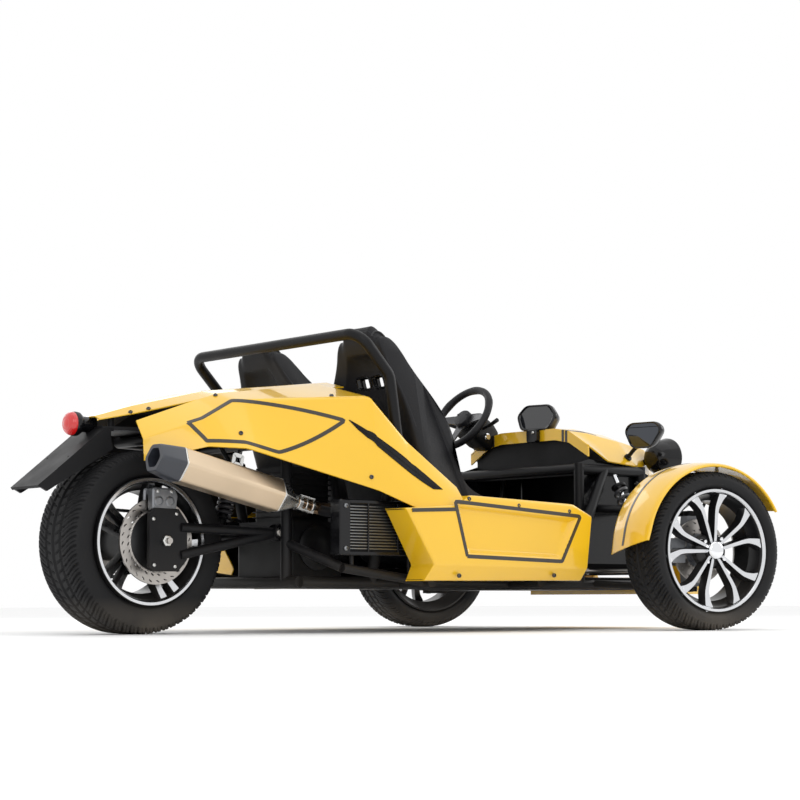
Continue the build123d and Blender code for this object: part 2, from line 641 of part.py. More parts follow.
# Radiator on the right side, carried by a low outboard tube
RADIATOR_Y = -465.0
RADIATOR_T = 44.0
RADIATOR_X = REAR_X + 485.0
RADIATOR_L = 380.0
RADIATOR_LOW = RAIL_Z + 86.0
RADIATOR_H = 184.0
TANK_W = 46.0
TANK_STEP = 5.0
with BuildPart() as radiator:
    with BuildSketch(beside(RADIATOR_Y)):
        with Locations((RADIATOR_X + RADIATOR_L / 2, RADIATOR_LOW + RADIATOR_H / 2)):
            RectangleRounded(RADIATOR_L, RADIATOR_H, 8)
    extrude(amount=RADIATOR_T / 2, both=True)
    for x in (RADIATOR_X + TANK_W / 2, RADIATOR_X + RADIATOR_L - TANK_W / 2):
        with BuildSketch(beside(RADIATOR_Y)):
            with Locations((x, RADIATOR_LOW + RADIATOR_H / 2)):
                RectangleRounded(TANK_W, RADIATOR_H, 8)
        extrude(amount=RADIATOR_T / 2 + TANK_STEP, both=True)
keep(radiator, "radiator")
CRADLE_Y = 100.0
OUTRIGGER_R = TUBE_R - 3
OUTRIGGER_Y = 465.0
KNEE_X = RADIATOR_X + 30.0
KNEE_Z = RAIL_Z + 45.0
with BuildPart() as frame_outriggers:
    for side in (-1, 1):
        rod((UPRIGHT_X, side * CRADLE_Y, RAIL_Z), (SEAT_CROSS_X, side * CRADLE_Y, RAIL_Z), TUBE_R)
        knee = (KNEE_X, side * OUTRIGGER_Y, KNEE_Z)
        rod((UPRIGHT_X, side * UPRIGHT_Y, UPPER_Z - 340), knee, OUTRIGGER_R)
        rod(knee, (SEAT_CROSS_X, side * OUTRIGGER_Y, RAIL_Z), OUTRIGGER_R)
    for x in (KNEE_X + 40, SEAT_CROSS_X - 75):
        along = (SEAT_CROSS_X - x) / (SEAT_CROSS_X - KNEE_X)
        rod((x, RADIATOR_Y, RAIL_Z + along * (KNEE_Z - RAIL_Z)), (x, RADIATOR_Y, RADIATOR_LOW + 4), 7)
    add(frame_uprights.part, mode=Mode.SUBTRACT)
    add(frame_crossmembers.part, mode=Mode.SUBTRACT)
    add(radiator.part, mode=Mode.SUBTRACT)
    add(roll_hoop.part, mode=Mode.SUBTRACT)
keep(frame_outriggers, "frame_outriggers")

# Floor
FLOOR_T = 4.0
FLOOR_Z = RAIL_Z + TUBE_R
with BuildPart() as belly_plate:
    belly = [(FRONT_X - 430, -310), (BULKHEAD_X + 60, -310), (BULKHEAD_X + 60, 310), (FRONT_X - 430, 310)]
    extrude(outline(Plane.XY.offset(RAIL_Z - TUBE_R), belly), amount=-FLOOR_T)
keep(belly_plate, "belly_plate")

# Seats: side profiles along the vehicle, wide bolsters outside a thinner middle
SEAT_FOOT = FLOOR_Z + FLOOR_T + 22
# Profiles of the seat from its rear foot, as (forward, up)
bolster_profile = [
    (0, 0), (500, 40), (520, 185), (300, 215), (118, 255), (70, 485), (-22, 600),
    (-112, 707), (-180, 745), (-212, 715), (-118, 485), (-40, 205),
]
pad_profile = [
    (0, 0), (500, 40), (520, 145), (60, 115), (10, 225), (-60, 475), (-130, 645),
    (-178, 785), (-200, 835), (-240, 835), (-250, 785), (-212, 715), (-118, 485), (-40, 205),
]
seats = []
for side, seat_name in ((-1, "seat_right"), (1, "seat_left")):
    with BuildPart() as seat:
        slab(beside(side * SEAT_Y), [(SEAT_X + x, SEAT_FOOT + z) for x, z in pad_profile], 2 * CUSHION_HALF)
        for way in (-1, 1):
            middle = side * SEAT_Y + way * (SEAT_HALF + CUSHION_HALF) / 2
            slab(beside(middle), [(SEAT_X + x, SEAT_FOOT + z) for x, z in bolster_profile], SEAT_HALF - CUSHION_HALF)
    keep(seat, seat_name)
    seats.append(seat)

with BuildPart() as floor_pan:
    floor_edge = [
        (SEAT_CROSS_X, -POD_INNER_Y), (FRONT_X - 330, -POD_INNER_Y), (FRONT_X - 250, -RAIL_Y - 15),
        (BULKHEAD_X, -RAIL_Y - 15), (BULKHEAD_X, RAIL_Y + 15), (FRONT_X - 250, RAIL_Y + 15),
        (FRONT_X - 330, POD_INNER_Y), (SEAT_CROSS_X, POD_INNER_Y),
    ]
    extrude(outline(Plane.XY.offset(FLOOR_Z), floor_edge), amount=FLOOR_T)
    for side in (-1, 1):
        for way in (-1, 1):
            with BuildSketch(Plane.XY.offset(FLOOR_Z + FLOOR_T)):
                with Locations((SEAT_X + 160, side * SEAT_Y + way * 110)):
                    Rectangle(300, 30)
    extrude(amount=60)
    for seat in seats:
        add(seat.part, mode=Mode.SUBTRACT)
    add(frame_front.part, mode=Mode.SUBTRACT)
keep(floor_pan, "floor_pan")

# Body panels. Each skin is lofted through cross-sections that are listed from the rear.
# Tail cover sections: place along the vehicle, half width, crown above the upper rails, drop to the edge
TAIL_SECTIONS = (
    (REAR_X - 176, 70, 66, 12), (REAR_X - 54, 120, 105, 25), (REAR_X + 190, 205, 166, 24), (HOOP_X - 34, 228, 230, 24),
)


def tail_section(x, half, rise, drop):
    """One cross-section of the tail cover: a flat crown with a slope down to each edge."""
    crown = UPPER_Z + rise
    upper = [(-half, crown - drop), (-0.55 * half, crown), (0.55 * half, crown), (half, crown - drop)]
    lower = [(y, z - SKIN) for y, z in reversed(upper)]
    return outline(across(x), upper + lower)


with BuildPart() as tail_cover:
    loft([tail_section(*row) for row in TAIL_SECTIONS], ruled=True)
keep(tail_cover, "tail_cover")

# Side panel sections: place along the vehicle, then (out, above the upper rails) of the seam, the shoulder
# and the low edge
SIDE_SECTIONS = (
    (REAR_X - 112, (188, 44), (230, -18), (236, -88)),
    (REAR_X + 75, (208, 112), (290, 52), (325, -38)),
    (REAR_X + 190, (218, 150), (296, 122), (385, -42)),
    (HOOP_X - 124, (236, 208), (480, 147), (522, -169)),
    (HOOP_X + 16, (452, 6), (505, 0), (578, -232)),
    (HOOP_X + 196, (528, -140), (552, -148), (606, -215)),
)


def side_section(x, *edges):
    """One cross-section of the right side panel, from the seam over the shoulder to the low edge."""
    seam, shoulder, low = [(-out, UPPER_Z + up) for out, up in edges]
    inner = [(low[0] + SKIN, low[1]), (shoulder[0] + SKIN, shoulder[1] - SKIN), (seam[0], seam[1] - SKIN)]
    return outline(across(x), [seam, shoulder, low] + inner)


# Side pod outline as (place along the vehicle, above the rails), from the rear top round to the rear crease
POD_REAR = SEAT_X - 272.0
POD_FRONT = FRONT_X - 400.0
POD_OUTLINE = (
    (POD_REAR, 241), (POD_REAR + 237, 258), (POD_REAR + 287, 292), (POD_FRONT - 94, 276), (POD_FRONT, 236),
    (POD_FRONT - 37, 50), (POD_FRONT - 51, 6), (POD_REAR + 88, 2), (POD_REAR + 114, 56),
)
POD_EDGE = 12.0
SILL_CREASE = 56.0
SILL_TUCK = 22.0
# Pocket in the pod's face: its rim and its floor, as (place along the vehicle, above the rails)
POCKET_RIM = ((POD_REAR + 225, 261), (POD_FRONT - 75, 227), (POD_FRONT - 168, 80), (POD_REAR + 267, 92))
POCKET_FLOOR = ((POD_REAR + 247, 241), (POD_FRONT - 105, 211), (POD_FRONT - 182, 98), (POD_REAR + 281, 110))
POCKET_DEPTH = 16.0
with BuildPart() as side_pod_right:
    pod_face = outline(beside(-POD_INNER_Y), [(x, RAIL_Z + z) for x, z in POD_OUTLINE])
    extrude(pod_face, amount=POD_Y - POD_INNER_Y)
    outer_edges = side_pod_right.faces().sort_by(Axis.Y)[0].edges()
    chamfer(outer_edges, POD_EDGE)
    sill_cut = [(-POD_Y, RAIL_Z + SILL_CREASE), (SILL_TUCK - POD_Y, RAIL_Z), (-POD_Y, RAIL_Z)]
    extrude(outline(across(POD_REAR), sill_cut), amount=POD_FRONT - POD_REAR, mode=Mode.SUBTRACT)
    pocket_rim = outline(beside(-POD_Y), [(x, RAIL_Z + z) for x, z in POCKET_RIM])
    pocket_floor = outline(beside(POCKET_DEPTH - POD_Y), [(x, RAIL_Z + z) for x, z in POCKET_FLOOR])
    loft([pocket_floor, pocket_rim], ruled=True, mode=Mode.SUBTRACT)
keep(side_pod_right, "side_pod_right")
with BuildPart() as side_pod_left:
    mirror(side_pod_right.part, about=Plane.XZ)
keep(side_pod_left, "side_pod_left")

HOOP_NOTCH = 4.0
with BuildPart() as hoop_room:
    with BuildSketch(beside(-HOOP_Y)):
        with BuildLine():
            Polyline(
                (HOOP_X - TUBE_R - HOOP_NOTCH, UPPER_Z - 80), (HOOP_X + TUBE_R + HOOP_NOTCH, UPPER_Z - 80),
                (HOOP_X + TUBE_R + HOOP_NOTCH, UPPER_Z + 120), (HOOP_X - 50, UPPER_Z + 120), close=True,
            )
        make_face()
    extrude(amount=TUBE_R + 10 + HOOP_NOTCH, both=True)
with BuildPart() as side_panel_right:
    loft([side_section(*row) for row in SIDE_SECTIONS], ruled=True)
    add(side_pod_right.part, mode=Mode.SUBTRACT)
    for neighbour in (hoop_room, tail_cover, frame_tail, frame_upper_rails):
        add(neighbour.part, mode=Mode.SUBTRACT)
keep(side_panel_right, "side_panel_right")
with BuildPart() as side_panel_left:
    mirror(side_panel_right.part, about=Plane.XZ)
keep(side_panel_left, "side_panel_left")

# Cowl sections: station from the front axle, then (out, above the dash rails) of the crown edge, the crease
# and the low edge
COWL_SECTIONS = (
    (-120, (150, 166), (225, 152), (325, 94)),
    (-28, (160, 168), (240, 145), (345, 34)),
    (130, (165, 152), (245, 122), (340, 22)),
    (330, (150, 116), (205, 100), (228, 0)),
    (430, (120, -10), (165, -25), (190, -130)),
)


def cowl_section(station, *edges):
    """One cross-section of the cowl, from the right low edge over the crown to the left low edge."""
    crown, crease, low = [(out, DASH_RAIL_Z + up) for out, up in edges]
    right = [(-low[0], low[1]), (-crease[0], crease[1]), (-crown[0], crown[1])]
    left = [(-y, z) for y, z in reversed(right)]
    under_left = [(low[0] - SKIN, low[1]), (crease[0] - 6, crease[1] - SKIN), (crown[0], crown[1] - SKIN)]
    under_right = [(-y, z) for y, z in reversed(under_left)]
    return outline(across(FRONT_X + station), right + left + under_left + under_right)


# The cowl's rear edge, as (out, above the dash rails) from side to side, carries a lip turned down behind it
half_edge = [(-y, z) for y, z in reversed(COWL_SECTIONS[0][1:])]
COWL_REAR = half_edge + [(-y, z) for y, z in reversed(half_edge)]
LIP_DROP = 45.0
LIP_T = 8.0
with BuildPart() as cowl:
    loft([cowl_section(*row) for row in COWL_SECTIONS], ruled=True)
    lip = COWL_REAR + [(y, z - LIP_DROP) for y, z in reversed(COWL_REAR)]
    lip_face = outline(across(FRONT_X + COWL_SECTIONS[0][0]), [(y, DASH_RAIL_Z + z) for y, z in lip])
    extrude(lip_face, amount=LIP_T)
    for neighbour in (frame_front, frame_upper_rails, frame_crossmembers):
        add(neighbour.part, mode=Mode.SUBTRACT)
keep(cowl, "cowl")

# Front fascia, leaning back over the chin plate, as (out, up along the fascia)
FASCIA = ((400, 12), (395, 60), (255, 190), (188, 345))
FASCIA_T = 26.0
GRILLE = ((150, 70), (175, 185), (130, 300))
CHIN_T = 16.0
chin_z = RAIL_Z - TUBE_R - 4.0 - CHIN_T
fascia_plane = Plane(origin=(NOSE_X - 22, 0, chin_z), x_dir=(0, 1, 0), z_dir=(1, 0, 0.16))
with BuildPart() as nose:
    chin = [
        (NOSE_X, -180), (NOSE_X - 40, -400), (NOSE_X - 150, -420), (BULKHEAD_X + 20, -300),
        (BULKHEAD_X + 20, 300), (NOSE_X - 150, 420), (NOSE_X - 40, 400), (NOSE_X, 180),
    ]
    extrude(outline(Plane.XY.offset(chin_z), chin), amount=CHIN_T)
    extrude(outline(fascia_plane, list(FASCIA) + [(-y, z) for y, z in reversed(FASCIA)]), amount=-FASCIA_T)
    extrude(
        outline(fascia_plane.offset(1), list(GRILLE) + [(-y, z) for y, z in reversed(GRILLE)]),
        amount=-FASCIA_T - 2,
        mode=Mode.SUBTRACT,
    )
    add(cowl.part, mode=Mode.SUBTRACT)
keep(nose, "nose")

# Headlamps, mirrors and instrument pod
LAMP_R = 78.0
LAMP_X = FRONT_X + 355.0
LAMP_Y = 300.0
LAMP_Z = DASH_RAIL_Z + 64.0
with BuildPart() as headlight_housings:
    for side in (-1, 1):
        with BuildSketch(across(LAMP_X - 95)):
            with Locations((side * LAMP_Y, LAMP_Z)):
                Circle(0.55 * LAMP_R)
        with BuildSketch(across(LAMP_X)):
            with Locations((side * LAMP_Y, LAMP_Z)):
                Circle(LAMP_R)
        loft()
    for side in (-1, 1):
        rod((LAMP_X - 55, side * LAMP_Y, LAMP_Z - 14), (LAMP_X - 55, side * 224, LAMP_Z - 14), 12)
    add(cowl.part, mode=Mode.SUBTRACT)
keep(headlight_housings, "headlight_housings")
with BuildPart() as headlight_lenses:
    for side in (-1, 1):
        with BuildSketch(across(LAMP_X)):
            with Locations((side * LAMP_Y, LAMP_Z)):
                Circle(LAMP_R - 6)
        extrude(amount=22, taper=25)
keep(headlight_lenses, "headlight_lenses")

MIRROR = Vector(FRONT_X + 70, 430, DASH_RAIL_Z + 132)
mirror_plane = across(MIRROR.X)
with BuildPart() as mirrors:
    for side in (-1, 1):
        shell = [(-96, 18), (-70, 50), (70, 52), (98, 22), (60, -48), (-40, -50)]
        back = [(0.5 * y, 0.5 * z) for y, z in shell]
        front_side = outline(
            mirror_plane.offset(60), [(side * MIRROR.Y + y, MIRROR.Z + z) for y, z in back]
        )
        near_side = outline(mirror_plane, [(side * MIRROR.Y + y, MIRROR.Z + z) for y, z in shell])
        loft([near_side, front_side], ruled=True)
        rod((MIRROR.X + 30, side * MIRROR.Y, MIRROR.Z - 20), (MIRROR.X + 40, side * 307, DASH_RAIL_Z + 50), 8)
    add(cowl.part, mode=Mode.SUBTRACT)
keep(mirrors, "mirrors")

POD = Vector(FRONT_X - 120, -45, DASH_RAIL_Z + 215)
pod_plane = Plane(origin=tuple(POD), x_dir=(0, 1, 0), z_dir=(1, 0.1, -0.2))
with BuildPart() as instrument_pod:
    face = [(-62, 54), (62, 54), (102, 10), (72, -50), (-72, -50), (-102, 10)]
    with BuildSketch(pod_plane):
        with BuildLine():
            Polyline(*face, close=True)
        make_face()
    with BuildSketch(pod_plane.offset(75)):
        with BuildLine():
            Polyline(*[(0.6 * y, 0.6 * z) for y, z in face], close=True)
        make_face()
    loft(ruled=True)
    rod((POD.X + 30, POD.Y, POD.Z - 10), (POD.X + 34, POD.Y, DASH_RAIL_Z + 158), 11)
    add(cowl.part, mode=Mode.SUBTRACT)
keep(instrument_pod, "instrument_pod")

# Steering wheel, column and rack
column_axis = Vector(cos(radians(COLUMN_TILT)), 0, -sin(radians(COLUMN_TILT)))
wheel_plane = Plane(WHEEL_HUB, x_dir=(0, 1, 0), z_dir=column_axis)
SHAFT_R = 10.0
HUB_BOSS = 30.0
with BuildPart() as steering_wheel:
    with Locations(wheel_plane):
        Torus(STEER_WHEEL_R, 15, rotation=(0, 0, 45))
    for angle in (0, 180, 270):
        toward = wheel_plane.x_dir * cos(radians(angle)) + wheel_plane.y_dir * sin(radians(angle))
        start = WHEEL_HUB + column_axis * 12
        rod(tuple(start), tuple(WHEEL_HUB + toward * STEER_WHEEL_R), 9)
    with BuildSketch(wheel_plane.offset(-8)):
        Circle(38)
    extrude(amount=HUB_BOSS + 8)
    with BuildSketch(wheel_plane.offset(HUB_BOSS)):
        Circle(SHAFT_R)
    extrude(amount=70)
keep(steering_wheel, "steering_wheel")
COLUMN_L = 250.0
column_start = WHEEL_HUB + column_axis * (HUB_BOSS + CLEAR + 5)
with BuildPart() as steering_column:
    with BuildSketch(Plane(column_start, x_dir=(0, 1, 0), z_dir=column_axis)):
        RectangleRounded(104, 110, 20)
    extrude(amount=130)
    rod(tuple(column_start), tuple(column_start + column_axis * COLUMN_L), 24)
    rod(tuple(column_start + column_axis * (COLUMN_L - 10)), (RACK_X + 5, 205, RACK_Z + 20), SHAFT_R)
    with BuildSketch(Plane(column_start, x_dir=(0, 1, 0), z_dir=column_axis)):
        Circle(SHAFT_R + FIT)
    extrude(amount=66, mode=Mode.SUBTRACT)
    for neighbour in (cowl, frame_front, frame_crossmembers):
        add(neighbour.part, mode=Mode.SUBTRACT)
keep(steering_column, "steering_column")

with BuildPart() as tie_rods:
    rod((RACK_X, RACK_SHIFT - RACK_HALF - 75, RACK_Z), (RACK_X, RACK_SHIFT + RACK_HALF + 75, RACK_Z), RACK_BAR_R)
    for side in (-1, 1):
        end_y = RACK_SHIFT + side * KINGPIN_Y
        rod((RACK_X, RACK_SHIFT, RACK_Z), (RACK_X, end_y, RACK_Z), RACK_BAR_R - 3)
        rod((RACK_X, end_y, RACK_Z - 12), (RACK_X, end_y, RACK_Z + 10), 15)
        rod((RACK_X, end_y, RACK_Z), (RACK_X, end_y, FRONT_TYRE_R - 53 - CLEAR), 7)
keep(tie_rods, "tie_rods")
with BuildPart() as steering_rack:
    rod((RACK_X, -RACK_HALF, RACK_Z), (RACK_X, RACK_HALF, RACK_Z), RACK_BAR_R + 11)
    for y in (-180, 180):
        with BuildSketch(Plane.XY.offset(FLOOR_Z + FLOOR_T)):
            with Locations((RACK_X, y)):
                Rectangle(50, 30)
        extrude(amount=RACK_Z - FLOOR_Z - FLOOR_T)
    with BuildSketch(Plane.XZ):
        with Locations((RACK_X, RACK_Z)):
            Circle(RACK_BAR_R + FIT)
    extrude(amount=RACK_HALF + 5, both=True, mode=Mode.SUBTRACT)
    add(steering_column.part, mode=Mode.SUBTRACT)
keep(steering_rack, "steering_rack")

# Front suspension arms and spring units
ARM_BOSS_R = 24.0
BOSS_GAP = 0.5
BALL_BOSS = 18.0
SHOCK_Y = 560.0
lower_ball_z = FRONT_TYRE_R - BALL_Z - BOSS_GAP - BALL_BOSS / 2
shock_share = (SHOCK_Y - RAIL_Y) / (KINGPIN_Y - RAIL_Y)
shock_z = RAIL_Z + shock_share * (lower_ball_z - RAIL_Z) + 3.3
with BuildPart() as front_arms:
    for side in (-1, 1):
        for way, inner_z in ((-1, RAIL_Z), (1, UPPER_ARM_Z)):
            ball_z = FRONT_TYRE_R + way * (BALL_Z + BOSS_GAP + BALL_BOSS / 2)
            for spread in (-ARM_SPREAD, ARM_SPREAD):
                rod((FRONT_X + spread, side * RAIL_Y, inner_z), (FRONT_X, side * KINGPIN_Y, ball_z), ARM_TUBE_R)
    for neighbour in (frame_rails, frame_upper_rails, floor_pan):
        add(neighbour.part, mode=Mode.SUBTRACT)
    for side in (-1, 1):
        for way in (-1, 1):
            near = FRONT_TYRE_R + way * (BALL_Z + BOSS_GAP)
            far = FRONT_TYRE_R + way * (BALL_Z + BOSS_GAP + BALL_BOSS)
            inward = FRONT_TYRE_R + way * (BALL_Z - 60)
            outward = FRONT_TYRE_R + way * (BALL_Z + 60)
            centre = (FRONT_X, side * KINGPIN_Y)
            with BuildSketch(Plane.XY) as room:
                with Locations(centre):
                    Circle(70)
            with BuildSketch(Plane.XY) as boss:
                with Locations(centre):
                    Circle(ARM_BOSS_R)
                    Circle(STUD_R + FIT, mode=Mode.SUBTRACT)
            extrude(room.sketch.moved(Location((0, 0, inward))), amount=near - inward, mode=Mode.SUBTRACT)
            extrude(boss.sketch.moved(Location((0, 0, near))), amount=far - near)
            extrude(room.sketch.moved(Location((0, 0, far))), amount=outward - far, mode=Mode.SUBTRACT)
            with BuildSketch(Plane.XY.offset(near)) as stud_hole:
                with Locations(centre):
                    Circle(STUD_R + FIT)
            extrude(stud_hole.sketch, amount=far - near, mode=Mode.SUBTRACT)
keep(front_arms, "front_arms")
with BuildPart() as front_shocks:
    for side in (-1, 1):
        foot = Vector(FRONT_X, side * SHOCK_Y, shock_z + 15)
        head = Vector(FRONT_X, side * (RAIL_Y + 6), DASH_RAIL_Z)
        strut = head - foot
        rod(tuple(foot), tuple(head), 9)
        rod(tuple(foot + strut * 0.2), tuple(foot + strut * 0.85), 30)
        spread = ARM_SPREAD * (1 - shock_share)
        rod((FRONT_X - spread, side * SHOCK_Y, shock_z), (FRONT_X + spread, side * SHOCK_Y, shock_z), 10)
        rod((FRONT_X, side * SHOCK_Y, shock_z), tuple(foot), 9)
    add(front_arms.part, mode=Mode.SUBTRACT)
    add(frame_upper_rails.part, mode=Mode.SUBTRACT)
with BuildPart() as spring_units:
    add(front_shocks.part)
    add(rear_shock.part)
keep(spring_units, "spring_units")

# Pedals, as (place across, width of the pad)
PEDALS = ((150, 70), (262, 55))
with BuildPart() as pedals:
    for y, width in PEDALS:
        pad_z = UPPER_ARM_Z - 150
        rod((BULKHEAD_X - 40, y, UPPER_ARM_Z), (BULKHEAD_X - 70, y, pad_z), 8)
        with BuildSketch(Plane(origin=(BULKHEAD_X - 72, y, pad_z), x_dir=(0, 1, 0), z_dir=(-1, 0, 0.3))):
            RectangleRounded(width, 60, 8)
        extrude(amount=10)
    rod((BULKHEAD_X - 40, RAIL_Y, UPPER_ARM_Z), (BULKHEAD_X - 40, 120, UPPER_ARM_Z), 9)
    add(frame_upper_rails.part, mode=Mode.SUBTRACT)
keep(pedals, "pedals")

# Panels that close the sides of the footwell, between the rack and the dash rails
PANEL_T = 4.0
PANEL_Y = RAIL_Y - TUBE_R - PANEL_T / 2 - CLEAR
PANEL_LOW = RACK_Z + 30.0
PANEL_PEAK = 40.0
DASH_X = FRONT_X + COWL_SECTIONS[0][0] + 20.0
DASH_DROP = 20.0
with BuildPart() as footwell_panels:
    for side in (-1, 1):
        panel = [
            (FOOTWELL_X, PANEL_LOW), (BULKHEAD_X, PANEL_LOW), (BULKHEAD_X, DASH_RAIL_Z + TUBE_R),
            (DASH_X, DASH_RAIL_Z + PANEL_PEAK), (FOOTWELL_X, DASH_RAIL_Z + TUBE_R),
        ]
        slab(beside(side * PANEL_Y), panel, PANEL_T)
    for neighbour in (cowl, frame_front, frame_upper_rails, frame_crossmembers, pedals):
        add(neighbour.part, mode=Mode.SUBTRACT)
keep(footwell_panels, "footwell_panels")

# The dash hangs under the cowl, just ahead of its lip, and the steering column passes through it
with BuildPart() as dash_panel:
    dash_half = PANEL_Y - PANEL_T / 2 - CLEAR
    top = [(max(-dash_half, min(dash_half, y)), z - DASH_DROP) for y, z in COWL_REAR]
    dash = [(-dash_half, -TUBE_R)] + top + [(dash_half, -TUBE_R)]
    slab(across(DASH_X), [(y, DASH_RAIL_Z + z) for y, z in dash], PANEL_T)
    for neighbour in (cowl, frame_front, frame_upper_rails, frame_crossmembers, steering_column):
        add(neighbour.part, mode=Mode.SUBTRACT)
keep(dash_panel, "dash_panel")

# Tail furniture: tray under the tail cover, plate holder and lamp
TRAY_Z = UPPER_Z + TUBE_R
PLATE_HOLE_SPACING = 130.0
PLATE_HOLE_R = 3.5
HOLDER_W = 170.0
HOLDER_T = 10.0
FLANGE_H = 34.0
with BuildPart() as tail_bracket:
    tray = [(REAR_X - 165, 70), (TAIL_RAIL_X + 30, 140), (TAIL_RAIL_X + 30, -140), (REAR_X - 165, -70)]
    extrude(outline(Plane.XY.offset(TRAY_Z), tray), amount=12)
    for y in (-50, 50):
        rod((REAR_X - 120, y, TRAY_Z), (REAR_X - 120, y, TRAY_Z + 56), 10)
    fold = (REAR_X - 165, TRAY_Z + 6)
    tip = (REAR_X - TAIL_OVERHANG, TRAY_Z - 189)
    plate_run = Vector(fold[0] - tip[0], 0, fold[1] - tip[1])
    under = Vector(plate_run.Z, 0, -plate_run.X).normalized() * HOLDER_T
    holder = [
        (REAR_X - 130, fold[1]), fold, tip, (tip[0] + under.X, tip[1] + under.Z),
        (fold[0] + under.X, fold[1] - HOLDER_T), (REAR_X - 130, fold[1] - HOLDER_T),
    ]
    slab(beside(0), holder, HOLDER_W)
    for side in (-1, 1):
        flange = [
            fold, tip, (tip[0] + FLANGE_H, tip[1] - FLANGE_H / 2), (fold[0] + FLANGE_H, fold[1] - 2 * FLANGE_H),
            (REAR_X - 140, fold[1] - FLANGE_H), (REAR_X - 140, fold[1]),
        ]
        slab(beside(side * (HOLDER_W - HOLDER_T) / 2), flange, HOLDER_T)
    plate_middle = ((fold[0] + tip[0]) / 2, 0, (fold[1] + tip[1]) / 2)
    with BuildSketch(Plane(plate_middle, x_dir=(0, 1, 0), z_dir=(-plate_run.Z, 0, plate_run.X))):
        with PolarLocations(PLATE_HOLE_SPACING / 2, 2):
            Circle(PLATE_HOLE_R)
    extrude(amount=-2 * HOLDER_T, mode=Mode.SUBTRACT)
    add(tail_cover.part, mode=Mode.SUBTRACT)
keep(tail_bracket, "tail_bracket")
TAIL_LAMP_R = 40.0
with BuildPart() as tail_lamp:
    lamp_z = TRAY_Z + 21
    rod((REAR_X - 165, 0, lamp_z + 2), (REAR_X - 222, 0, lamp_z), 26)
    rod((REAR_X - 205, 0, lamp_z), (REAR_X - 262, 0, lamp_z), TAIL_LAMP_R)
    add(tail_bracket.part, mode=Mode.SUBTRACT)
    add(tail_cover.part, mode=Mode.SUBTRACT)
keep(tail_lamp, "tail_lamp")
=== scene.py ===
"""Dress of an open three-wheeled roadster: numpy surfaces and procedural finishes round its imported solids.

Metres. +X is forward, +Y is left and +Z is up, as in the solids, and the floor is Z = 0. Stations of the body
are counted from the rear axle, and those of the cowl from the front axle.
"""

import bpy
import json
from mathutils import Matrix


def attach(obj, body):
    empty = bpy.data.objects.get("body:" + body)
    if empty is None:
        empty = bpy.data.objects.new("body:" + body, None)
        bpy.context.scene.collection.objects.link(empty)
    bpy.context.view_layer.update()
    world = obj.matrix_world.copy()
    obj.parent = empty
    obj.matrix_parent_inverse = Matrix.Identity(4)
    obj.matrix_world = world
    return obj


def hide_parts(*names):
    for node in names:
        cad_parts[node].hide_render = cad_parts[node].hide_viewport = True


bl_info = {
    "name": "Three-wheeled roadster dress",
    "version": (1, 0, 0),
    "blender": (4, 5, 0),
    "location": "View3D > Sidebar > Roadster",
    "description": "Builds the visible pieces, finishes and stage of an open three-wheeled roadster",
    "category": "Object",
}

import json
import math

import bmesh
import bpy
import numpy as np
from mathutils import Matrix

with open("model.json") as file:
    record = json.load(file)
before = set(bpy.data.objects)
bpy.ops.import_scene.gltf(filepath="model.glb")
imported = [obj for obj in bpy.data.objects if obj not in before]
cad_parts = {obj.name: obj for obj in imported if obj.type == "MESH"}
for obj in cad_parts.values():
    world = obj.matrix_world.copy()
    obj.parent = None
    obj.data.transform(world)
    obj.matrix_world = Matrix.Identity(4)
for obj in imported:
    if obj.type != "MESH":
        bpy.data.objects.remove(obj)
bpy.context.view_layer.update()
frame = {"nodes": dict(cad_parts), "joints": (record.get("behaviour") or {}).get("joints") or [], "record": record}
JOINT = {joint["name"]: joint for joint in frame["joints"]}


def joint_place(name):
    """The point that a joint turns about."""
    return np.array(JOINT[name]["pos_m"], float)


REAR_AXLE = joint_place("rear_spin")
REAR_X = REAR_AXLE[0]
FRONT_X = joint_place("steer_right")[0]
X_AXIS, Y_AXIS, Z_AXIS = np.eye(3)
CHASSIS = "chassis"
RIGHT, LEFT = -1, 1
SIDES = ((RIGHT, "right"), (LEFT, "left"))


# Array helpers

def unit(vectors):
    """Vectors divided by their lengths."""
    vectors = np.asarray(vectors, float)
    return vectors / np.linalg.norm(vectors, axis=-1, keepdims=True)


def axes_of(axis, hint=Z_AXIS):
    """Three unit vectors square to each other: across, up towards the hint, and the axis itself."""
    axis = unit(axis)
    across = unit(np.cross(hint, axis))
    return np.stack([across, np.cross(axis, across), axis])


def plane_axes(z_dir, x_dir):
    """Axes of a plane from its normal and a rough first direction."""
    z = unit(z_dir)
    x = unit(np.asarray(x_dir) - (np.asarray(x_dir) @ z) * z)
    return np.stack([x, np.cross(z, x), z])


def put(points, origin, axes):
    """Local points carried to the vehicle: the origin plus each local coordinate along its own axis."""
    return np.asarray(origin) + np.asarray(points, float) @ axes


def soft_blend(knots, samples, reach, taps=9):
    """Weights of the knots at each sample: straight-line blending averaged over a short window.

    The window rounds every corner over the given reach and leaves the runs between corners straight.
    """
    knots = np.asarray(knots, float)
    spots = np.asarray(samples, float)[:, None] + reach * np.linspace(-1, 1, taps)
    below = np.clip(np.searchsorted(knots, spots) - 1, 0, len(knots) - 2)
    share = (spots - knots[below]) / (knots[below + 1] - knots[below])
    weights = np.zeros(spots.shape + (len(knots),))
    np.put_along_axis(weights, below[..., None], 1 - share[..., None], -1)
    np.put_along_axis(weights, below[..., None] + 1, share[..., None], -1)
    return weights.mean(1)


def corner_samples(knots, reach, between=4):
    """Sample places along knots: a few between each two, and a close cluster round every inner corner."""
    knots = np.asarray(knots, float)
    plain = [np.linspace(a, b, between, endpoint=False) for a, b in zip(knots[:-1], knots[1:])]
    close = [k + reach * np.linspace(-1.1, 1.1, 9) for k in knots[1:-1]]
    every = np.concatenate(plain + close + [knots[-1:]])
    return np.unique(np.round(np.clip(every, knots[0], knots[-1]), 5))


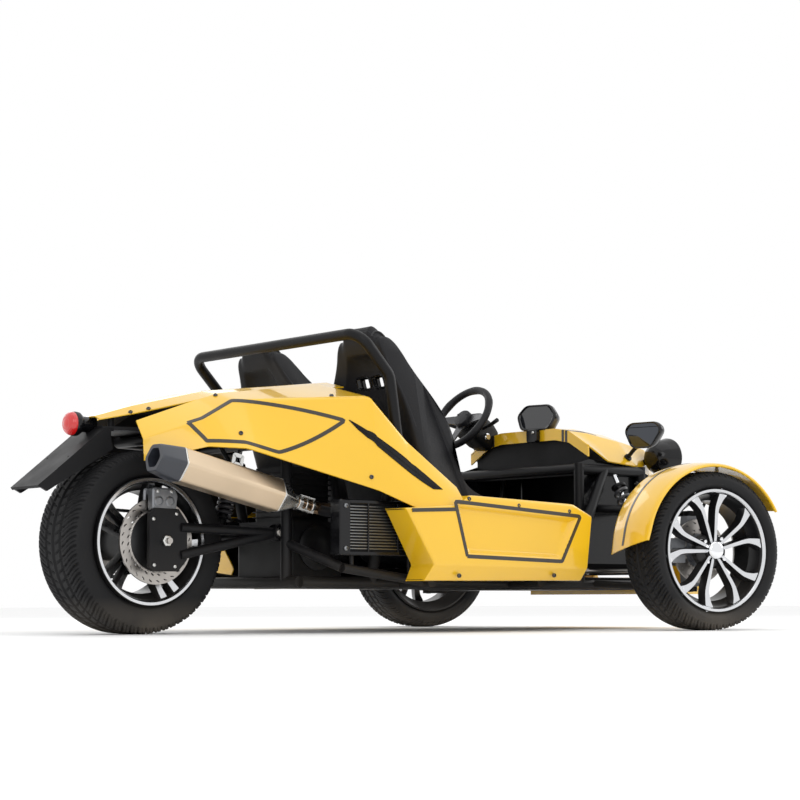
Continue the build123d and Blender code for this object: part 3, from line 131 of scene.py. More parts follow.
def creased(net, reach_u, reach_v, between_u=6, between_v=6):
    """A faceted skin with rounded creases: the net blended by soft_blend in both directions."""
    rows, columns = np.arange(net.shape[0]), np.arange(net.shape[1])
    u = corner_samples(rows, reach_u, between_u)
    v = corner_samples(columns, reach_v, between_v)
    return np.einsum("ui,vj,ijk->uvk", soft_blend(rows, u, reach_u), soft_blend(columns, v, reach_v), net)


def normals_of(points):
    """Unit normals of a grid of points: the cross product of its two directions of change."""
    along = np.gradient(points, axis=0)
    over = np.gradient(points, axis=1)
    return unit(np.cross(along, over) + 1e-12)


def rounded(corners, radius, steps=5):
    """A closed outline with its corners rounded: at each corner a parabola from one side to the other."""
    corners = np.asarray(corners, float)
    before = np.roll(corners, 1, 0)
    after = np.roll(corners, -1, 0)
    start = corners + unit(before - corners) * radius
    end = corners + unit(after - corners) * radius
    t = np.linspace(0, 1, steps)[None, :, None]
    curve = (1 - t) ** 2 * start[:, None] + 2 * t * (1 - t) * corners[:, None] + t**2 * end[:, None]
    return curve.reshape(-1, corners.shape[1])


def inset(outline, amount):
    """A closed plane outline drawn in: each corner moves along the middle of its two sides' normals."""
    edge = unit(np.roll(outline, -1, 0) - outline)
    square = np.stack([-edge[:, 1], edge[:, 0]], -1)
    before = np.roll(square, 1, 0)
    middle = (square + before) / (1 + (square * before).sum(-1, keepdims=True))
    return outline + amount * middle


def round_angles(count):
    """Angles evenly round a circle."""
    return np.linspace(0, 2 * math.pi, count, endpoint=False)


def polar(radius, angle):
    """Plane points from radii and angles."""
    return np.stack([radius * np.cos(angle), radius * np.sin(angle)], -1)


def smooth(share):
    """A straight rise from zero to one eased at both ends, and held outside them."""
    share = np.clip(share, 0, 1)
    return share * share * (3 - 2 * share)


def steep_hint(axis):
    """The way up, or the way forward where the axis itself is near upright."""
    return X_AXIS if abs(unit(axis)[2]) > 0.9 else Z_AXIS


# Patches: points, faces and the number of a finish

# Edges sharper than this many degrees stay sharp, and seams this close are merged
SHARP_ANGLE = 38.0
SEAM_MERGE = 2e-6


def grid_patch(points, wrap_u=False, wrap_v=False, finish=0):
    """Quads over a grid of points, row by row; a wrapped direction closes on itself."""
    rows, columns = points.shape[:2]
    u = np.arange(rows if wrap_u else rows - 1)[:, None]
    v = np.arange(columns if wrap_v else columns - 1)[None, :]
    next_u = (u + 1) % rows
    next_v = (v + 1) % columns
    corners = [u * columns + v, u * columns + next_v, next_u * columns + next_v, next_u * columns + v]
    return points.reshape(-1, 3), np.stack(corners, -1).reshape(-1, 4), finish


def cap_patch(ring, finish=0):
    """One face that closes a ring of points."""
    return ring, np.arange(len(ring))[None, :], finish


def capped(points, finish=0):
    """A closed section carried through rows of points, with a face at each end."""
    ends = [cap_patch(points[0], finish), cap_patch(points[-1], finish)]
    return [grid_patch(points, False, True, finish)] + ends


def lathe(profile, origin, axes, count=48, finish=0):
    """A profile of (radius, height) turned once about the axis."""
    radius, height = np.asarray(profile, float).T
    angle = round_angles(count)[:, None]
    flat = np.stack([radius * np.cos(angle), radius * np.sin(angle), height + 0 * angle], -1)
    return grid_patch(put(flat, origin, axes), True, False, finish)


def rod(start, end, radius, count=20, chamfer=0.0015, finish=0):
    """A straight round bar between two points with a small chamfer at each end."""
    start, end = np.asarray(start, float), np.asarray(end, float)
    length = np.linalg.norm(end - start)
    profile = [
        (0, 0), (radius - chamfer, 0), (radius, chamfer), (radius, length - chamfer),
        (radius - chamfer, length), (0, length),
    ]
    return lathe(profile, start, axes_of(end - start, steep_hint(end - start)), count, finish)


def tube(path, radius, count=14, hint=None, finish=0):
    """A round section carried along a path, each ring square to the path; a radius of zero closes an end."""
    path = np.asarray(path, float)
    way = unit(np.gradient(path, axis=0))
    if hint is None:
        hint = np.eye(3)[np.argmin(np.abs(way).max(0))]
    across = unit(np.cross(way, hint))
    up = np.cross(way, across)
    angle = round_angles(count)[:, None]
    radius = np.broadcast_to(np.asarray(radius, float), (len(path),))[:, None, None]
    ring = across[:, None] * np.cos(angle) + up[:, None] * np.sin(angle)
    return capped(path[:, None] + radius * ring, finish)


def bent_path(corners, reach, steps=8):
    """A path through corner points with every corner rounded by soft_blend."""
    corners = np.asarray(corners, float)
    knots = np.arange(len(corners))
    return soft_blend(knots, corner_samples(knots, reach, steps), reach) @ corners


def coil(start, end, radius, wire, turns, per_turn=20, sides=8, finish=0):
    """A round wire wound as a helix about the line between two points."""
    start, end = np.asarray(start, float), np.asarray(end, float)
    axes = axes_of(end - start, X_AXIS)
    share = np.linspace(0, 1, int(turns * per_turn) + 1)
    angle = 2 * math.pi * turns * share
    height = share * np.linalg.norm(end - start)
    path = np.stack([radius * np.cos(angle), radius * np.sin(angle), height], -1)
    return tube(put(path, start, axes), wire, sides, axes[2], finish)


def moulded(outline, rings, origin, axes, finish=0):
    """A closed outline carried up its axis: each ring is the outline drawn in by an inset at a height."""
    flat = [np.c_[inset(outline, drawn), np.full(len(outline), height)] for drawn, height in rings]
    return capped(put(np.stack(flat), origin, axes), finish)


def loft_rings(rings, origin, axes, finish=0, ends=(False, False)):
    """Outlines with the same number of points, joined one to the next: each is (outline, height)."""
    points = put(np.stack([np.c_[line, np.full(len(line), height)] for line, height in rings]), origin,
                 axes)
    patches = [grid_patch(points, False, True, finish)]
    if ends[0]:
        patches.append(cap_patch(points[0], finish))
    if ends[1]:
        patches.append(cap_patch(points[-1], finish))
    return patches


def slab(corners, radius, thickness, origin, axes, edge=0.002, finish=0):
    """A flat plate of a rounded outline with softened edges."""
    rings = ((edge, 0), (0, edge), (0, thickness - edge), (edge, thickness))
    return moulded(rounded(corners, radius), rings, origin, axes, finish)


def box_outline(width, height):
    """The four corners of a rectangle about its middle."""
    x, y = width / 2, height / 2
    return [(-x, -y), (x, -y), (x, y), (-x, y)]


def shell(points, gauge, facing, finish=0, inner_finish=None):
    """A sheet of some gauge: a grid, the same grid moved back, and the rim between them."""
    square = normals_of(points)
    inner = points - gauge * square * np.sign(square.mean((0, 1)) @ np.asarray(facing, float))
    edges = (
        (points[0], inner[0]), (points[-1], inner[-1]),
        (points[:, 0], inner[:, 0]), (points[:, -1], inner[:, -1]),
    )
    inner_finish = finish if inner_finish is None else inner_finish
    sheets = [grid_patch(points, finish=finish), grid_patch(inner, finish=inner_finish)]
    return sheets + [grid_patch(np.stack(edge), finish=finish) for edge in edges]


def tape(points, normals, width, height, finish=0):
    """A flat strip along a line on a surface: a thin box section carried along it."""
    way = unit(np.gradient(points, axis=0))
    side = unit(np.cross(normals, way)) * width / 2
    lift = normals * height
    top = 0.9 * side
    section = [points - side - lift, points - top + lift, points + top + lift, points + side - lift]
    return capped(np.stack(section, 1), finish)


# Rings of a screw's head: share of the radius, height as a share of it, how much of a hexagon
SCREW_RINGS = (
    (1.0, -0.3, 0), (1.0, 0.25, 0), (0.9, 0.62, 0), (0.66, 0.82, 0), (0.5, 0.86, 1), (0.46, 0.3, 1),
    (0.0, 0.3, 1),
)


def screw_head(origin, normal, radius=0.008, finish=0):
    """A domed screw with a six-sided socket: rings that change from a circle to a hexagon inwards."""
    angle = round_angles(24)
    six = 0.93 / np.cos((angle + math.pi / 6) % (math.pi / 3) - math.pi / 6)
    across, up, hexed = np.array(SCREW_RINGS).T[:, :, None]
    r = radius * across * (1 - hexed + hexed * six)
    flat = np.stack([r * np.cos(angle), r * np.sin(angle), radius * up + 0 * angle], -1)
    return grid_patch(put(flat, origin, axes_of(normal, steep_hint(normal))), False, True, finish)


def flattened(patches):
    """A plain list of patches from one that also holds lists of them."""
    flat = []
    for patch in patches:
        flat.extend(patch if isinstance(patch, list) else [patch])
    return flat


def face_outwards(mesh, merge=0.0):
    """Merge points that are closer than a distance and turn the faces outwards."""
    work = bmesh.new()
    work.from_mesh(mesh)
    if merge:
        bmesh.ops.remove_doubles(work, verts=work.verts, dist=merge)
    bmesh.ops.recalc_face_normals(work, faces=work.faces)
    work.to_mesh(mesh)
    work.free()


def joined_mesh(name, patches, sharp=SHARP_ANGLE):
    """Join patches into one mesh, close its seams and turn its faces outwards."""
    grids, faces, finishes = zip(*flattened(patches))
    starts = np.cumsum([0] + [len(grid) for grid in grids[:-1]])
    loops = np.concatenate([(part + start).ravel() for part, start in zip(faces, starts)])
    sizes = np.concatenate([np.full(len(part), part.shape[1]) for part in faces])
    numbers = np.concatenate([np.full(len(part), number) for part, number in zip(faces, finishes)])
    points = np.concatenate(grids)
    mesh = bpy.data.meshes.new(name)
    mesh.vertices.add(len(points))
    mesh.vertices.foreach_set("co", points.astype(np.float32).ravel())
    mesh.loops.add(len(loops))
    mesh.loops.foreach_set("vertex_index", loops.astype(np.int32))
    mesh.polygons.add(len(sizes))
    mesh.polygons.foreach_set("loop_start", (np.cumsum(sizes) - sizes).astype(np.int32))
    mesh.polygons.foreach_set("material_index", numbers.astype(np.int32))
    mesh.polygons.foreach_set("use_smooth", np.ones(len(sizes), bool))
    mesh.update(calc_edges=True)
    face_outwards(mesh, SEAM_MERGE)
    mesh.set_sharp_from_angle(angle=math.radians(sharp))
    return mesh


def build_piece(name, patches, finishes, body, stands_for=(), sharp=SHARP_ANGLE):
    """One object at the origin from joined patches, with its finishes, riding on a body."""
    mesh = joined_mesh(name, patches, sharp)
    for finish in finishes:
        mesh.materials.append(finish)
    piece = bpy.data.objects.new(name, mesh)
    bpy.context.scene.collection.objects.link(piece)
    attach(piece, body)
    if stands_for:
        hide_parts(*stands_for)
    return piece


def mirrored(patches, side):
    """Patches drawn for the right side, given for either: the left ones are reflected in the middle plane."""
    flip = np.array([1, -side, 1])
    return [(points * flip, faces, finish) for points, faces, finish in flattened(patches)]


# Finishes

def weather_group():
    """A node group that every finish shares: broad patches, fine grain, and dust towards the floor."""
    group = bpy.data.node_groups.get("Weathered surface")
    if group:
        return group
    group = bpy.data.node_groups.new("Weathered surface", "ShaderNodeTree")
    for name, kind in (("Vector", "NodeSocketVector"), ("Patch Scale", "NodeSocketFloat"),
                       ("Grain Scale", "NodeSocketFloat"), ("Dust Height", "NodeSocketFloat")):
        group.interface.new_socket(name, in_out="INPUT", socket_type=kind)
    for name in ("Patches", "Grain", "Dust"):
        group.interface.new_socket(name, in_out="OUTPUT", socket_type="NodeSocketFloat")
    nodes, links = group.nodes, group.links
    enter, leave = nodes.new("NodeGroupInput"), nodes.new("NodeGroupOutput")
    patches = nodes.new("ShaderNodeTexNoise")
    patches.inputs["Detail"].default_value = 4.0
    grain = nodes.new("ShaderNodeTexNoise")
    grain.inputs["Detail"].default_value = 3.0
    split = nodes.new("ShaderNodeSeparateXYZ")
    low = nodes.new("ShaderNodeMapRange")
    low.inputs["To Min"].default_value = 1.0
    low.inputs["To Max"].default_value = 0.0
    broken = nodes.new("ShaderNodeMath")
    broken.operation = "MULTIPLY"
    links.new(enter.outputs["Vector"], patches.inputs["Vector"])
    links.new(enter.outputs["Vector"], grain.inputs["Vector"])
    links.new(enter.outputs["Vector"], split.inputs[0])
    links.new(enter.outputs["Patch Scale"], patches.inputs["Scale"])
    links.new(enter.outputs["Grain Scale"], grain.inputs["Scale"])
    links.new(split.outputs["Z"], low.inputs["Value"])
    links.new(enter.outputs["Dust Height"], low.inputs["From Max"])
    links.new(low.outputs["Result"], broken.inputs[0])
    links.new(patches.outputs["Fac"], broken.inputs[1])
    links.new(patches.outputs["Fac"], leave.inputs["Patches"])
    links.new(grain.outputs["Fac"], leave.inputs["Grain"])
    links.new(broken.outputs["Value"], leave.inputs["Dust"])
    return group


DUST_COLOUR = (0.34, 0.29, 0.23, 1.0)


def finish(name, colour, rough, metal=0.0, patch=(6.0, 0.25), grain=(400.0, 0.1, 0.0004), dust=(0.3, 0.0),
           **sockets):
    """A procedural finish: colour broken by patches and dust, uneven roughness and a bump of fine grain.

    patch is (scale, how much darker), grain is (scale, strength, depth) and dust is (height, amount).
    """
    known = bpy.data.materials.get(name)
    if known:
        return known
    material = bpy.data.materials.new(name)
    material.use_nodes = True
    nodes, links = material.node_tree.nodes, material.node_tree.links
    shader = nodes["Principled BSDF"]
    place = nodes.new("ShaderNodeTexCoord")
    weather = nodes.new("ShaderNodeGroup")
    weather.node_tree = weather_group()
    weather.inputs["Patch Scale"].default_value = patch[0]
    weather.inputs["Grain Scale"].default_value = grain[0]
    weather.inputs["Dust Height"].default_value = dust[0]
    links.new(place.outputs["Object"], weather.inputs["Vector"])
    worn = nodes.new("ShaderNodeMix")
    worn.data_type = "RGBA"
    worn.name = "Colour"
    worn.inputs["A"].default_value = (*colour, 1.0)
    worn.inputs["B"].default_value = (*[c * (1 - patch[1]) for c in colour], 1.0)
    links.new(weather.outputs["Patches"], worn.inputs["Factor"])
    dusty = nodes.new("ShaderNodeMix")
    dusty.data_type = "RGBA"
    dusty.inputs["B"].default_value = DUST_COLOUR
    amount = nodes.new("ShaderNodeMath")
    amount.operation = "MULTIPLY"
    amount.inputs[1].default_value = dust[1]
    links.new(weather.outputs["Dust"], amount.inputs[0])
    links.new(amount.outputs["Value"], dusty.inputs["Factor"])
    links.new(worn.outputs["Result"], dusty.inputs["A"])
    links.new(dusty.outputs["Result"], shader.inputs["Base Color"])
    uneven = nodes.new("ShaderNodeMapRange")
    uneven.inputs["To Min"].default_value = max(0.02, rough * 0.8)
    uneven.inputs["To Max"].default_value = min(1.0, rough * 1.25)
    links.new(weather.outputs["Patches"], uneven.inputs["Value"])
    links.new(uneven.outputs["Result"], shader.inputs["Roughness"])
    bump = nodes.new("ShaderNodeBump")
    bump.inputs["Strength"].default_value = grain[1]
    bump.inputs["Distance"].default_value = grain[2]
    links.new(weather.outputs["Grain"], bump.inputs["Height"])
    links.new(bump.outputs["Normal"], shader.inputs["Normal"])
    shader.inputs["Metallic"].default_value = metal
    for socket, value in sockets.items():
        shader.inputs[socket.replace("_", " ")].default_value = value
    return material


def paint():
    """The user's colours."""
    return bpy.context.scene.roadster_colours


# Each finish is made once, for the first piece that asks for it

def body_yellow():
    return finish("Body yellow", paint().body, 0.3, 0.0, (3.0, 0.10), (60.0, 0.03, 0.001), (0.28, 0.35),
                  Coat_Weight=0.9, Coat_Roughness=0.06)


def frame_black():
    return finish("Frame black", paint().frame, 0.42, 0.0, (9.0, 0.35), (900.0, 0.12, 0.0003), (0.30, 0.15),
                  Specular_IOR_Level=0.22)


def trim_black():
    return finish("Trim black", (0.007, 0.007, 0.008), 0.5, 0.0, (14.0, 0.3), (1500.0, 0.2, 0.0003),
                  (0.25, 0.12), Specular_IOR_Level=0.22)


def gloss_black():
    return finish("Gloss black", (0.005, 0.005, 0.006), 0.16, 0.0, (10.0, 0.3), (200.0, 0.02, 0.0003),
                  (0.2, 0.1), Specular_IOR_Level=0.35)


def stripe_black():
    return finish("Stripe black", paint().stripe, 0.3, 0.0, (30.0, 0.3), (700.0, 0.1, 0.0002),
                  Coat_Weight=0.4)


def tyre_rubber():
    return finish("Tyre rubber", (0.011, 0.011, 0.012), 0.62, 0.0, (7.0, 0.35), (700.0, 0.25, 0.0004),
                  (0.12, 0.4), Specular_IOR_Level=0.25)


def rim_black():
    return finish("Rim black", (0.008, 0.008, 0.009), 0.3, 0.0, (12.0, 0.3), (500.0, 0.05, 0.0003),
                  (0.3, 0.12), Specular_IOR_Level=0.4)


def machined_alloy():
    return finish("Machined alloy", (0.74, 0.75, 0.77), 0.22, 1.0, (20.0, 0.12), (1800.0, 0.08, 0.0002))


def bright_chrome():
    return finish("Bright chrome", (0.85, 0.86, 0.88), 0.05, 1.0, (10.0, 0.06), (300.0, 0.01, 0.0002))


def brake_steel():
    return finish("Brake steel", (0.52, 0.49, 0.46), 0.32, 1.0, (25.0, 0.25), (1400.0, 0.12, 0.0002),
                  (0.3, 0.1))


def cast_alloy():
    return finish("Cast alloy", (0.33, 0.34, 0.36), 0.45, 1.0, (18.0, 0.35), (900.0, 0.35, 0.0005),
                  (0.3, 0.2))


def dark_steel():
    return finish("Dark steel", (0.12, 0.12, 0.125), 0.38, 1.0, (20.0, 0.4), (900.0, 0.2, 0.0003),
                  (0.3, 0.2))


def zinc_steel():
    return finish("Zinc steel", (0.72, 0.72, 0.70), 0.26, 1.0, (30.0, 0.2), (900.0, 0.08, 0.0002))


def seat_leather():
    return finish("Seat leather", (0.008, 0.008, 0.010), 0.5, 0.0, (8.0, 0.3), (260.0, 0.55, 0.0012),
                  (0.2, 0.1), Specular_IOR_Level=0.3)


def seat_piping():
    return finish("Seat piping", (0.020, 0.020, 0.022), 0.55, 0.0, (30.0, 0.3), (900.0, 0.4, 0.0006))


# Painted shade: a flat near-black that stands for the shade inside the side vents and in the depth of the
# radiator's core
def painted_shade_black():
    return finish("Void black", (0.002, 0.002, 0.002), 0.9, 0.0, (20.0, 0.2), (500.0, 0.1, 0.0003))


def cap_black():
    return finish("Cap black", (0.030, 0.034, 0.044), 0.34, 0.0, (14.0, 0.3), (1200.0, 0.15, 0.0003),
                  Coat_Weight=0.3)


def engine_black():
    return finish("Engine black", (0.009, 0.009, 0.010), 0.45, 0.0, (16.0, 0.35), (700.0, 0.3, 0.0004),
                  (0.3, 0.12), Specular_IOR_Level=0.3)


def dark_glass():
    return finish("Dark glass", (0.010, 0.011, 0.014), 0.04, 0.0, (6.0, 0.2), (200.0, 0.005, 0.0001),
                  Coat_Weight=0.8, Coat_Roughness=0.03)


def muffler_skin():
    return finish("Muffler skin", (0.78, 0.62, 0.44), 0.34, 1.0, (5.0, 0.22), (1500.0, 0.10, 0.0002),
                  (0.3, 0.05))


def pipe_steel():
    return finish("Pipe steel", (0.55, 0.36, 0.22), 0.24, 1.0, (16.0, 0.6), (900.0, 0.06, 0.0002))


def fin_alloy():
    return finish("Fin alloy", (0.34, 0.35, 0.36), 0.35, 1.0, (30.0, 0.3), (1200.0, 0.15, 0.0003),
                  (0.3, 0.1))


def red_lens():
    return finish("Red lens", (0.55, 0.004, 0.004), 0.12, 0.0, (12.0, 0.3), (300.0, 0.03, 0.0003),
                  Coat_Weight=1.0, Emission_Color=(0.6, 0.01, 0.01, 1.0), Emission_Strength=0.25)


def clear_lens():
    return finish("Clear lens", (0.92, 0.94, 0.95), 0.03, 0.0, (10.0, 0.04), (200.0, 0.01, 0.0002),
                  Transmission_Weight=0.9)


# Painted reflection: the mirror's metallic colour is kept near-black, so the glass always shows a dark reflection,
# as of dark surroundings
def painted_dark_reflection_glass():
    return finish("Mirror glass", (0.075, 0.08, 0.09), 0.03, 1.0, (6.0, 0.05), (200.0, 0.005, 0.0001))


def spring_coat():
    return finish("Spring coat", (0.05, 0.05, 0.055), 0.35, 0.0, (14.0, 0.3), (700.0, 0.1, 0.0003),
                  Coat_Weight=0.4)


# Wheels

TYRE_PITCHES = 60
FRONT_TYRE = {"radius": 0.285, "width": 0.204, "lip": 0.221}
REAR_TYRE = {"radius": 0.300, "width": 0.230, "lip": 0.209}


def hub_axes(joint, side):
    """A wheel's own axes: across, up and outboard, from the joint that it turns on."""
    axis = unit(JOINT[joint]["axis"])
    return axes_of(axis * side)


def notch(distance, half_width, soft):
    """One inside a groove and zero outside it, with a sloping wall between."""
    return np.clip((half_width + soft - np.abs(distance)) / soft, 0, 1)


def tyre_surface(radius, width, lip, depth):
    """A tyre: its section turned about the hub, with the tread cut in along the section's normal.

    The section runs from bead to bead through bulged walls and a flat crown. The tread is three grooves round
    the crown and rows of slanted grooves that sweep back from the middle to each shoulder.
    """
    half = width / 2
    outer = np.array([
        (lip - 0.014, half - 0.027), (lip + 0.003, half - 0.020), (lip + 0.016, half - 0.003),
        (radius - 0.030, half - 0.002), (radius - 0.009, half - 0.010), (radius - 0.0008, half - 0.030),
        (radius, half - 0.058),
    ])
    inner = outer * (1, -1)
    section = np.concatenate([inner, [(radius, 0)], outer[::-1]])
    knots = np.arange(len(section))
    runs = [np.linspace(0, 4, 22), np.linspace(4, 10, 56), np.linspace(10, 14, 22)]
    place = np.unique(np.concatenate(runs))
    curve = soft_blend(knots, place, 0.55) @ section
    along = unit(np.gradient(curve, axis=0))
    square = np.stack([along[:, 1], -along[:, 0]], -1)
    square *= np.sign((square * (curve - (lip, 0))).sum(-1, keepdims=True))
    angle = round_angles(TYRE_PITCHES * 14)[:, None]
    height = curve[None, :, 1]
    on_tread = np.clip((curve[None, :, 0] - (radius - 0.022)) / 0.006, 0, 1)
    rings = sum(notch(height - spot * half, 0.0030, 0.0016) for spot in (-0.36, 0.0, 0.36))
    out = np.abs(height) / half
    sweep = TYRE_PITCHES * angle / (2 * math.pi) + 2.1 * out**1.3
    slant = notch(sweep % 1.0 - 0.5, 0.085, 0.05) * np.clip((out - 0.10) / 0.08, 0, 1)
    fine = notch((sweep + 0.5) % 1.0 - 0.5, 0.03, 0.03) * np.clip((out - 0.45) / 0.06, 0, 1)
    cut = depth * on_tread * np.clip(rings + slant + 0.6 * fine, 0, 1)
    rib_spots = (lip + 0.010, lip + 0.016, radius - 0.030)
    ribs = sum(notch(curve[None, :, 0] - spot, 0.0010, 0.0012) for spot in rib_spots) * (1 - on_tread)
    moved = -cut + 0.0009 * ribs * (np.abs(height) > half - 0.03)
    r = curve[None, :, 0] + moved * square[None, :, 0]
    z = height + moved * square[None, :, 1]
    return np.stack([r * np.cos(angle), r * np.sin(angle), z], -1)


def tyre_piece(name, node, body, joint, side, sizes):
    """A tyre on its hub: the treaded surface, and the band that closes it from bead to bead."""
    depth = bpy.context.scene.roadster_sizes.tread_depth
    points = put(tyre_surface(depth=depth, **sizes), joint_place(joint), hub_axes(joint, side))
    inside = np.stack([points[:, 0], points[:, -1]], 1)
    patches = [grid_patch(points, True), grid_patch(inside, True)]
    build_piece(name, patches, [tyre_rubber()], body, (node,))


def tyres():
    """The three treaded tyres on their hubs."""
    for side, word in SIDES:
        joint = f"front_{word}_spin"
        tyre_piece(f"front_tread_{word}", f"front_tyre_{word}", f"front_wheel_{word}", joint, side,
                   FRONT_TYRE)
    tyre_piece("rear_tread", "rear_tyre", "rear_wheel", "rear_spin", RIGHT, REAR_TYRE)


SPOKE_PAIRS = 5
NUT_CIRCLE = 0.052
NUT_PROFILE = ((0.0095, -0.012), (0.0095, 0.004), (0.0085, 0.008), (0.0085, 0.016), (0.006, 0.020),
               (0, 0.0215))
# Spoke courses: share of the lip radius, angle from the pair's middle, half width, face height, depth
FRONT_SPOKES = (
    (0.12, 16.0, 0.0050, 0.074, 0.030), (0.22, 13.5, 0.0055, 0.076, 0.034),
    (0.68, 11.8, 0.0075, 0.080, 0.036), (0.86, 16.2, 0.0120, 0.083, 0.030),
    (0.985, 19.6, 0.0180, 0.084, 0.020),
)
REAR_SPOKES = (
    (0.20, 16.0, 0.0080, 0.060, 0.030), (0.40, 10.5, 0.0085, 0.076, 0.034),
    (0.75, 8.6, 0.0095, 0.092, 0.034), (0.93, 8.2, 0.0120, 0.106, 0.020),
)


def spoke_surface(courses, lip, turn, side):
    """One spoke of a pair: a section with a flat face and sloping walls carried through its courses."""
    share, angle, half, face, depth = np.array(courses).T
    knots = np.arange(len(courses))
    weights = soft_blend(knots, corner_samples(knots, 0.28, 5), 0.28)
    r = lip * share
    bearing = math.radians(turn) + side * np.radians(angle)
    middle = weights @ polar(r, bearing)
    way = unit(np.gradient(middle, axis=0))
    square = np.stack([-way[:, 1], way[:, 0]], -1)
    half, face, depth = (weights @ row for row in (half, face, depth))
    # Section: share of the half width, share of the depth below the face
    section = [(-1.7, 1.0), (-1.12, 0.06), (-1.0, 0.0), (1.0, 0.0), (1.12, 0.06), (1.7, 1.0)]
    across, below = np.array(section).T
    flat = middle[:, None] + square[:, None] * (half[:, None] * across)[..., None]
    return np.concatenate([flat, (face[:, None] - depth[:, None] * below)[..., None]], -1)


def rim_patches(origin, axes, lip, lip_height, seat, courses, turn, nuts):
    """A rim: a turned barrel with two lips, five pairs of spokes with machined faces, and nuts."""
    bead = lip - 0.015
    well = bead - 0.018
    wall = 0.007
    barrel = [
        (lip, -lip_height), (lip, -seat - 0.006), (bead, -seat), (bead, -seat + 0.014),
        (well, -seat + 0.034), (well, seat - 0.034), (bead, seat - 0.014), (bead, seat),
        (lip, seat + 0.006), (lip, lip_height - 0.002), (lip - 0.002, lip_height),
    ]
    face = [(lip - 0.002, lip_height), (lip - 0.011, lip_height), (lip - 0.014, lip_height - 0.004)]
    inside = [
        (lip - 0.014, lip_height - 0.004), (lip - 0.020, lip_height - 0.016), (bead - wall, seat - 0.012),
        (well - wall, seat - 0.034), (well - wall, 0.034 - seat), (bead - wall, 0.012 - seat),
        (lip - wall, -lip_height), (lip, -lip_height),
    ]
    patches = [
        lathe(barrel, origin, axes, 96, 0), lathe(face, origin, axes, 96, 1),
        lathe(inside, origin, axes, 96, 0),
    ]
    for pair in range(SPOKE_PAIRS):
        for side in (-1, 1):
            points = put(spoke_surface(courses, lip, turn + 360 / SPOKE_PAIRS * pair, side), origin, axes)
            patches.append(grid_patch(points[:, :3], finish=0))
            patches.append(grid_patch(points[:, 2:4], finish=1))
            patches.append(grid_patch(points[:, 3:], finish=0))
            patches.append(grid_patch(points[:, [5, 0]], finish=0))
    for nut in range(nuts):
        foot = polar(NUT_CIRCLE, math.radians(turn + 45 + nut * 360 / nuts))
        place = put((*foot, courses[0][3] - 0.016), origin, axes)
        patches.append(lathe(NUT_PROFILE, place, axes, 18, 2))
    return patches


def rims():
    """The three rims on their hubs."""
    finishes = [rim_black(), machined_alloy(), bright_chrome()]
    for side, word in SIDES:
        joint = f"front_{word}_spin"
        origin, axes = joint_place(joint), hub_axes(joint, side)
        turn = 98.0 if side == RIGHT else 278.0
        patches = rim_patches(origin, axes, FRONT_TYRE["lip"], 0.092, 0.076, FRONT_SPOKES, turn, 4)
        hub = [
            (0.060, 0.0165), (0.066, 0.030), (0.066, 0.050), (0.058, 0.060), (0.040, 0.066),
            (0.036, 0.074), (0, 0.074),
        ]
        cap = [(0.034, 0.066), (0.0345, 0.082), (0.032, 0.088), (0.026, 0.0925), (0.014, 0.0950),
               (0, 0.0955)]
        back = [(0.060, 0.0165), (0.021, 0.0165), (0.021, 0.07)]
        patches.append(lathe(hub, origin, axes, 48, 0))
        patches.append(lathe(back, origin, axes, 48, 0))
        patches.append(lathe(cap, origin, axes, 48, 2))
        build_piece(f"front_wheel_rim_{word}", patches, finishes, f"front_wheel_{word}",
                    (f"front_rim_{word}",))
    axes = hub_axes("rear_spin", RIGHT)
    patches = rim_patches(REAR_AXLE, axes, REAR_TYRE["lip"], 0.117, 0.089, REAR_SPOKES, 80.0, 0)
    hub = [
        (0.0125, -0.142), (0.058, -0.142), (0.058, -0.05), (0.050, 0.0), (0.058, 0.05), (0.058, 0.1365),
        (0.0125, 0.1365), (0.0125, -0.142),
    ]
    patches.append(lathe(hub, REAR_AXLE, axes, 48, 0))
    build_piece("rear_wheel_rim", patches, finishes, "rear_wheel", ("rear_rim",))


# Brake discs: points round a hole, and how many radians the rows of holes slant for each metre of radius
HOLE_POINTS = 17
HOLE_SHEAR = 9.0


def drilled_face(inner, outer, count, rows, hole, shear):
    """A flat ring of cells, each with a round hole: lines from the hole's circle to the cell's own edge.

    Cells lie in rows by radius and are sheared by the radius, so that the holes run in slanting lines.
    """
    ring = np.linspace(inner, outer, rows + 1)
    middle = ((ring[:-1] + ring[1:]) / 2)[:, None, None]
    half_r = (outer - inner) / rows / 2
    half_a = math.pi / count
    start = (2 * half_a * np.arange(count))[None, :, None]
    phi = np.linspace(0, 2 * math.pi, HOLE_POINTS)[None, None, :]
    reach = np.maximum(np.abs(np.cos(phi)), np.abs(np.sin(phi)))
    rim_r = middle + hole * np.sin(phi)
    rim_a = start + hole * np.cos(phi) / middle
    edge_r = middle + half_r * np.sin(phi) / reach
    edge_a = start + half_a * np.cos(phi) / reach
    r = np.stack(np.broadcast_arrays(rim_r + 0 * start, edge_r + 0 * start), -1)
    a = np.stack(np.broadcast_arrays(rim_a, edge_a + 0 * middle), -1) + shear * (r - inner)
    return polar(r, a).reshape(rows * count, HOLE_POINTS, 2, 2)


def drilled_disc(origin, axes, inner, outer, low, high, count, rows, hole):
    """A brake disc: two drilled faces, the walls of the holes, and the disc's inner and outer edges."""
    flat = drilled_face(inner, outer, count, rows, hole, HOLE_SHEAR)
    patches = []
    faces = []
    for height in (low, high):
        points = put(np.concatenate([flat, np.full(flat.shape[:-1] + (1,), height)], -1), origin, axes)
        faces.append(points)
        patches.extend(grid_patch(cell) for cell in points)
    patches.extend(grid_patch(np.stack([a[:, 0], b[:, 0]], 1)) for a, b in zip(*faces))
    for r in (inner, outer):
        patches.append(lathe([(r, low), (r, high)], origin, axes, 8 * count))
    return patches


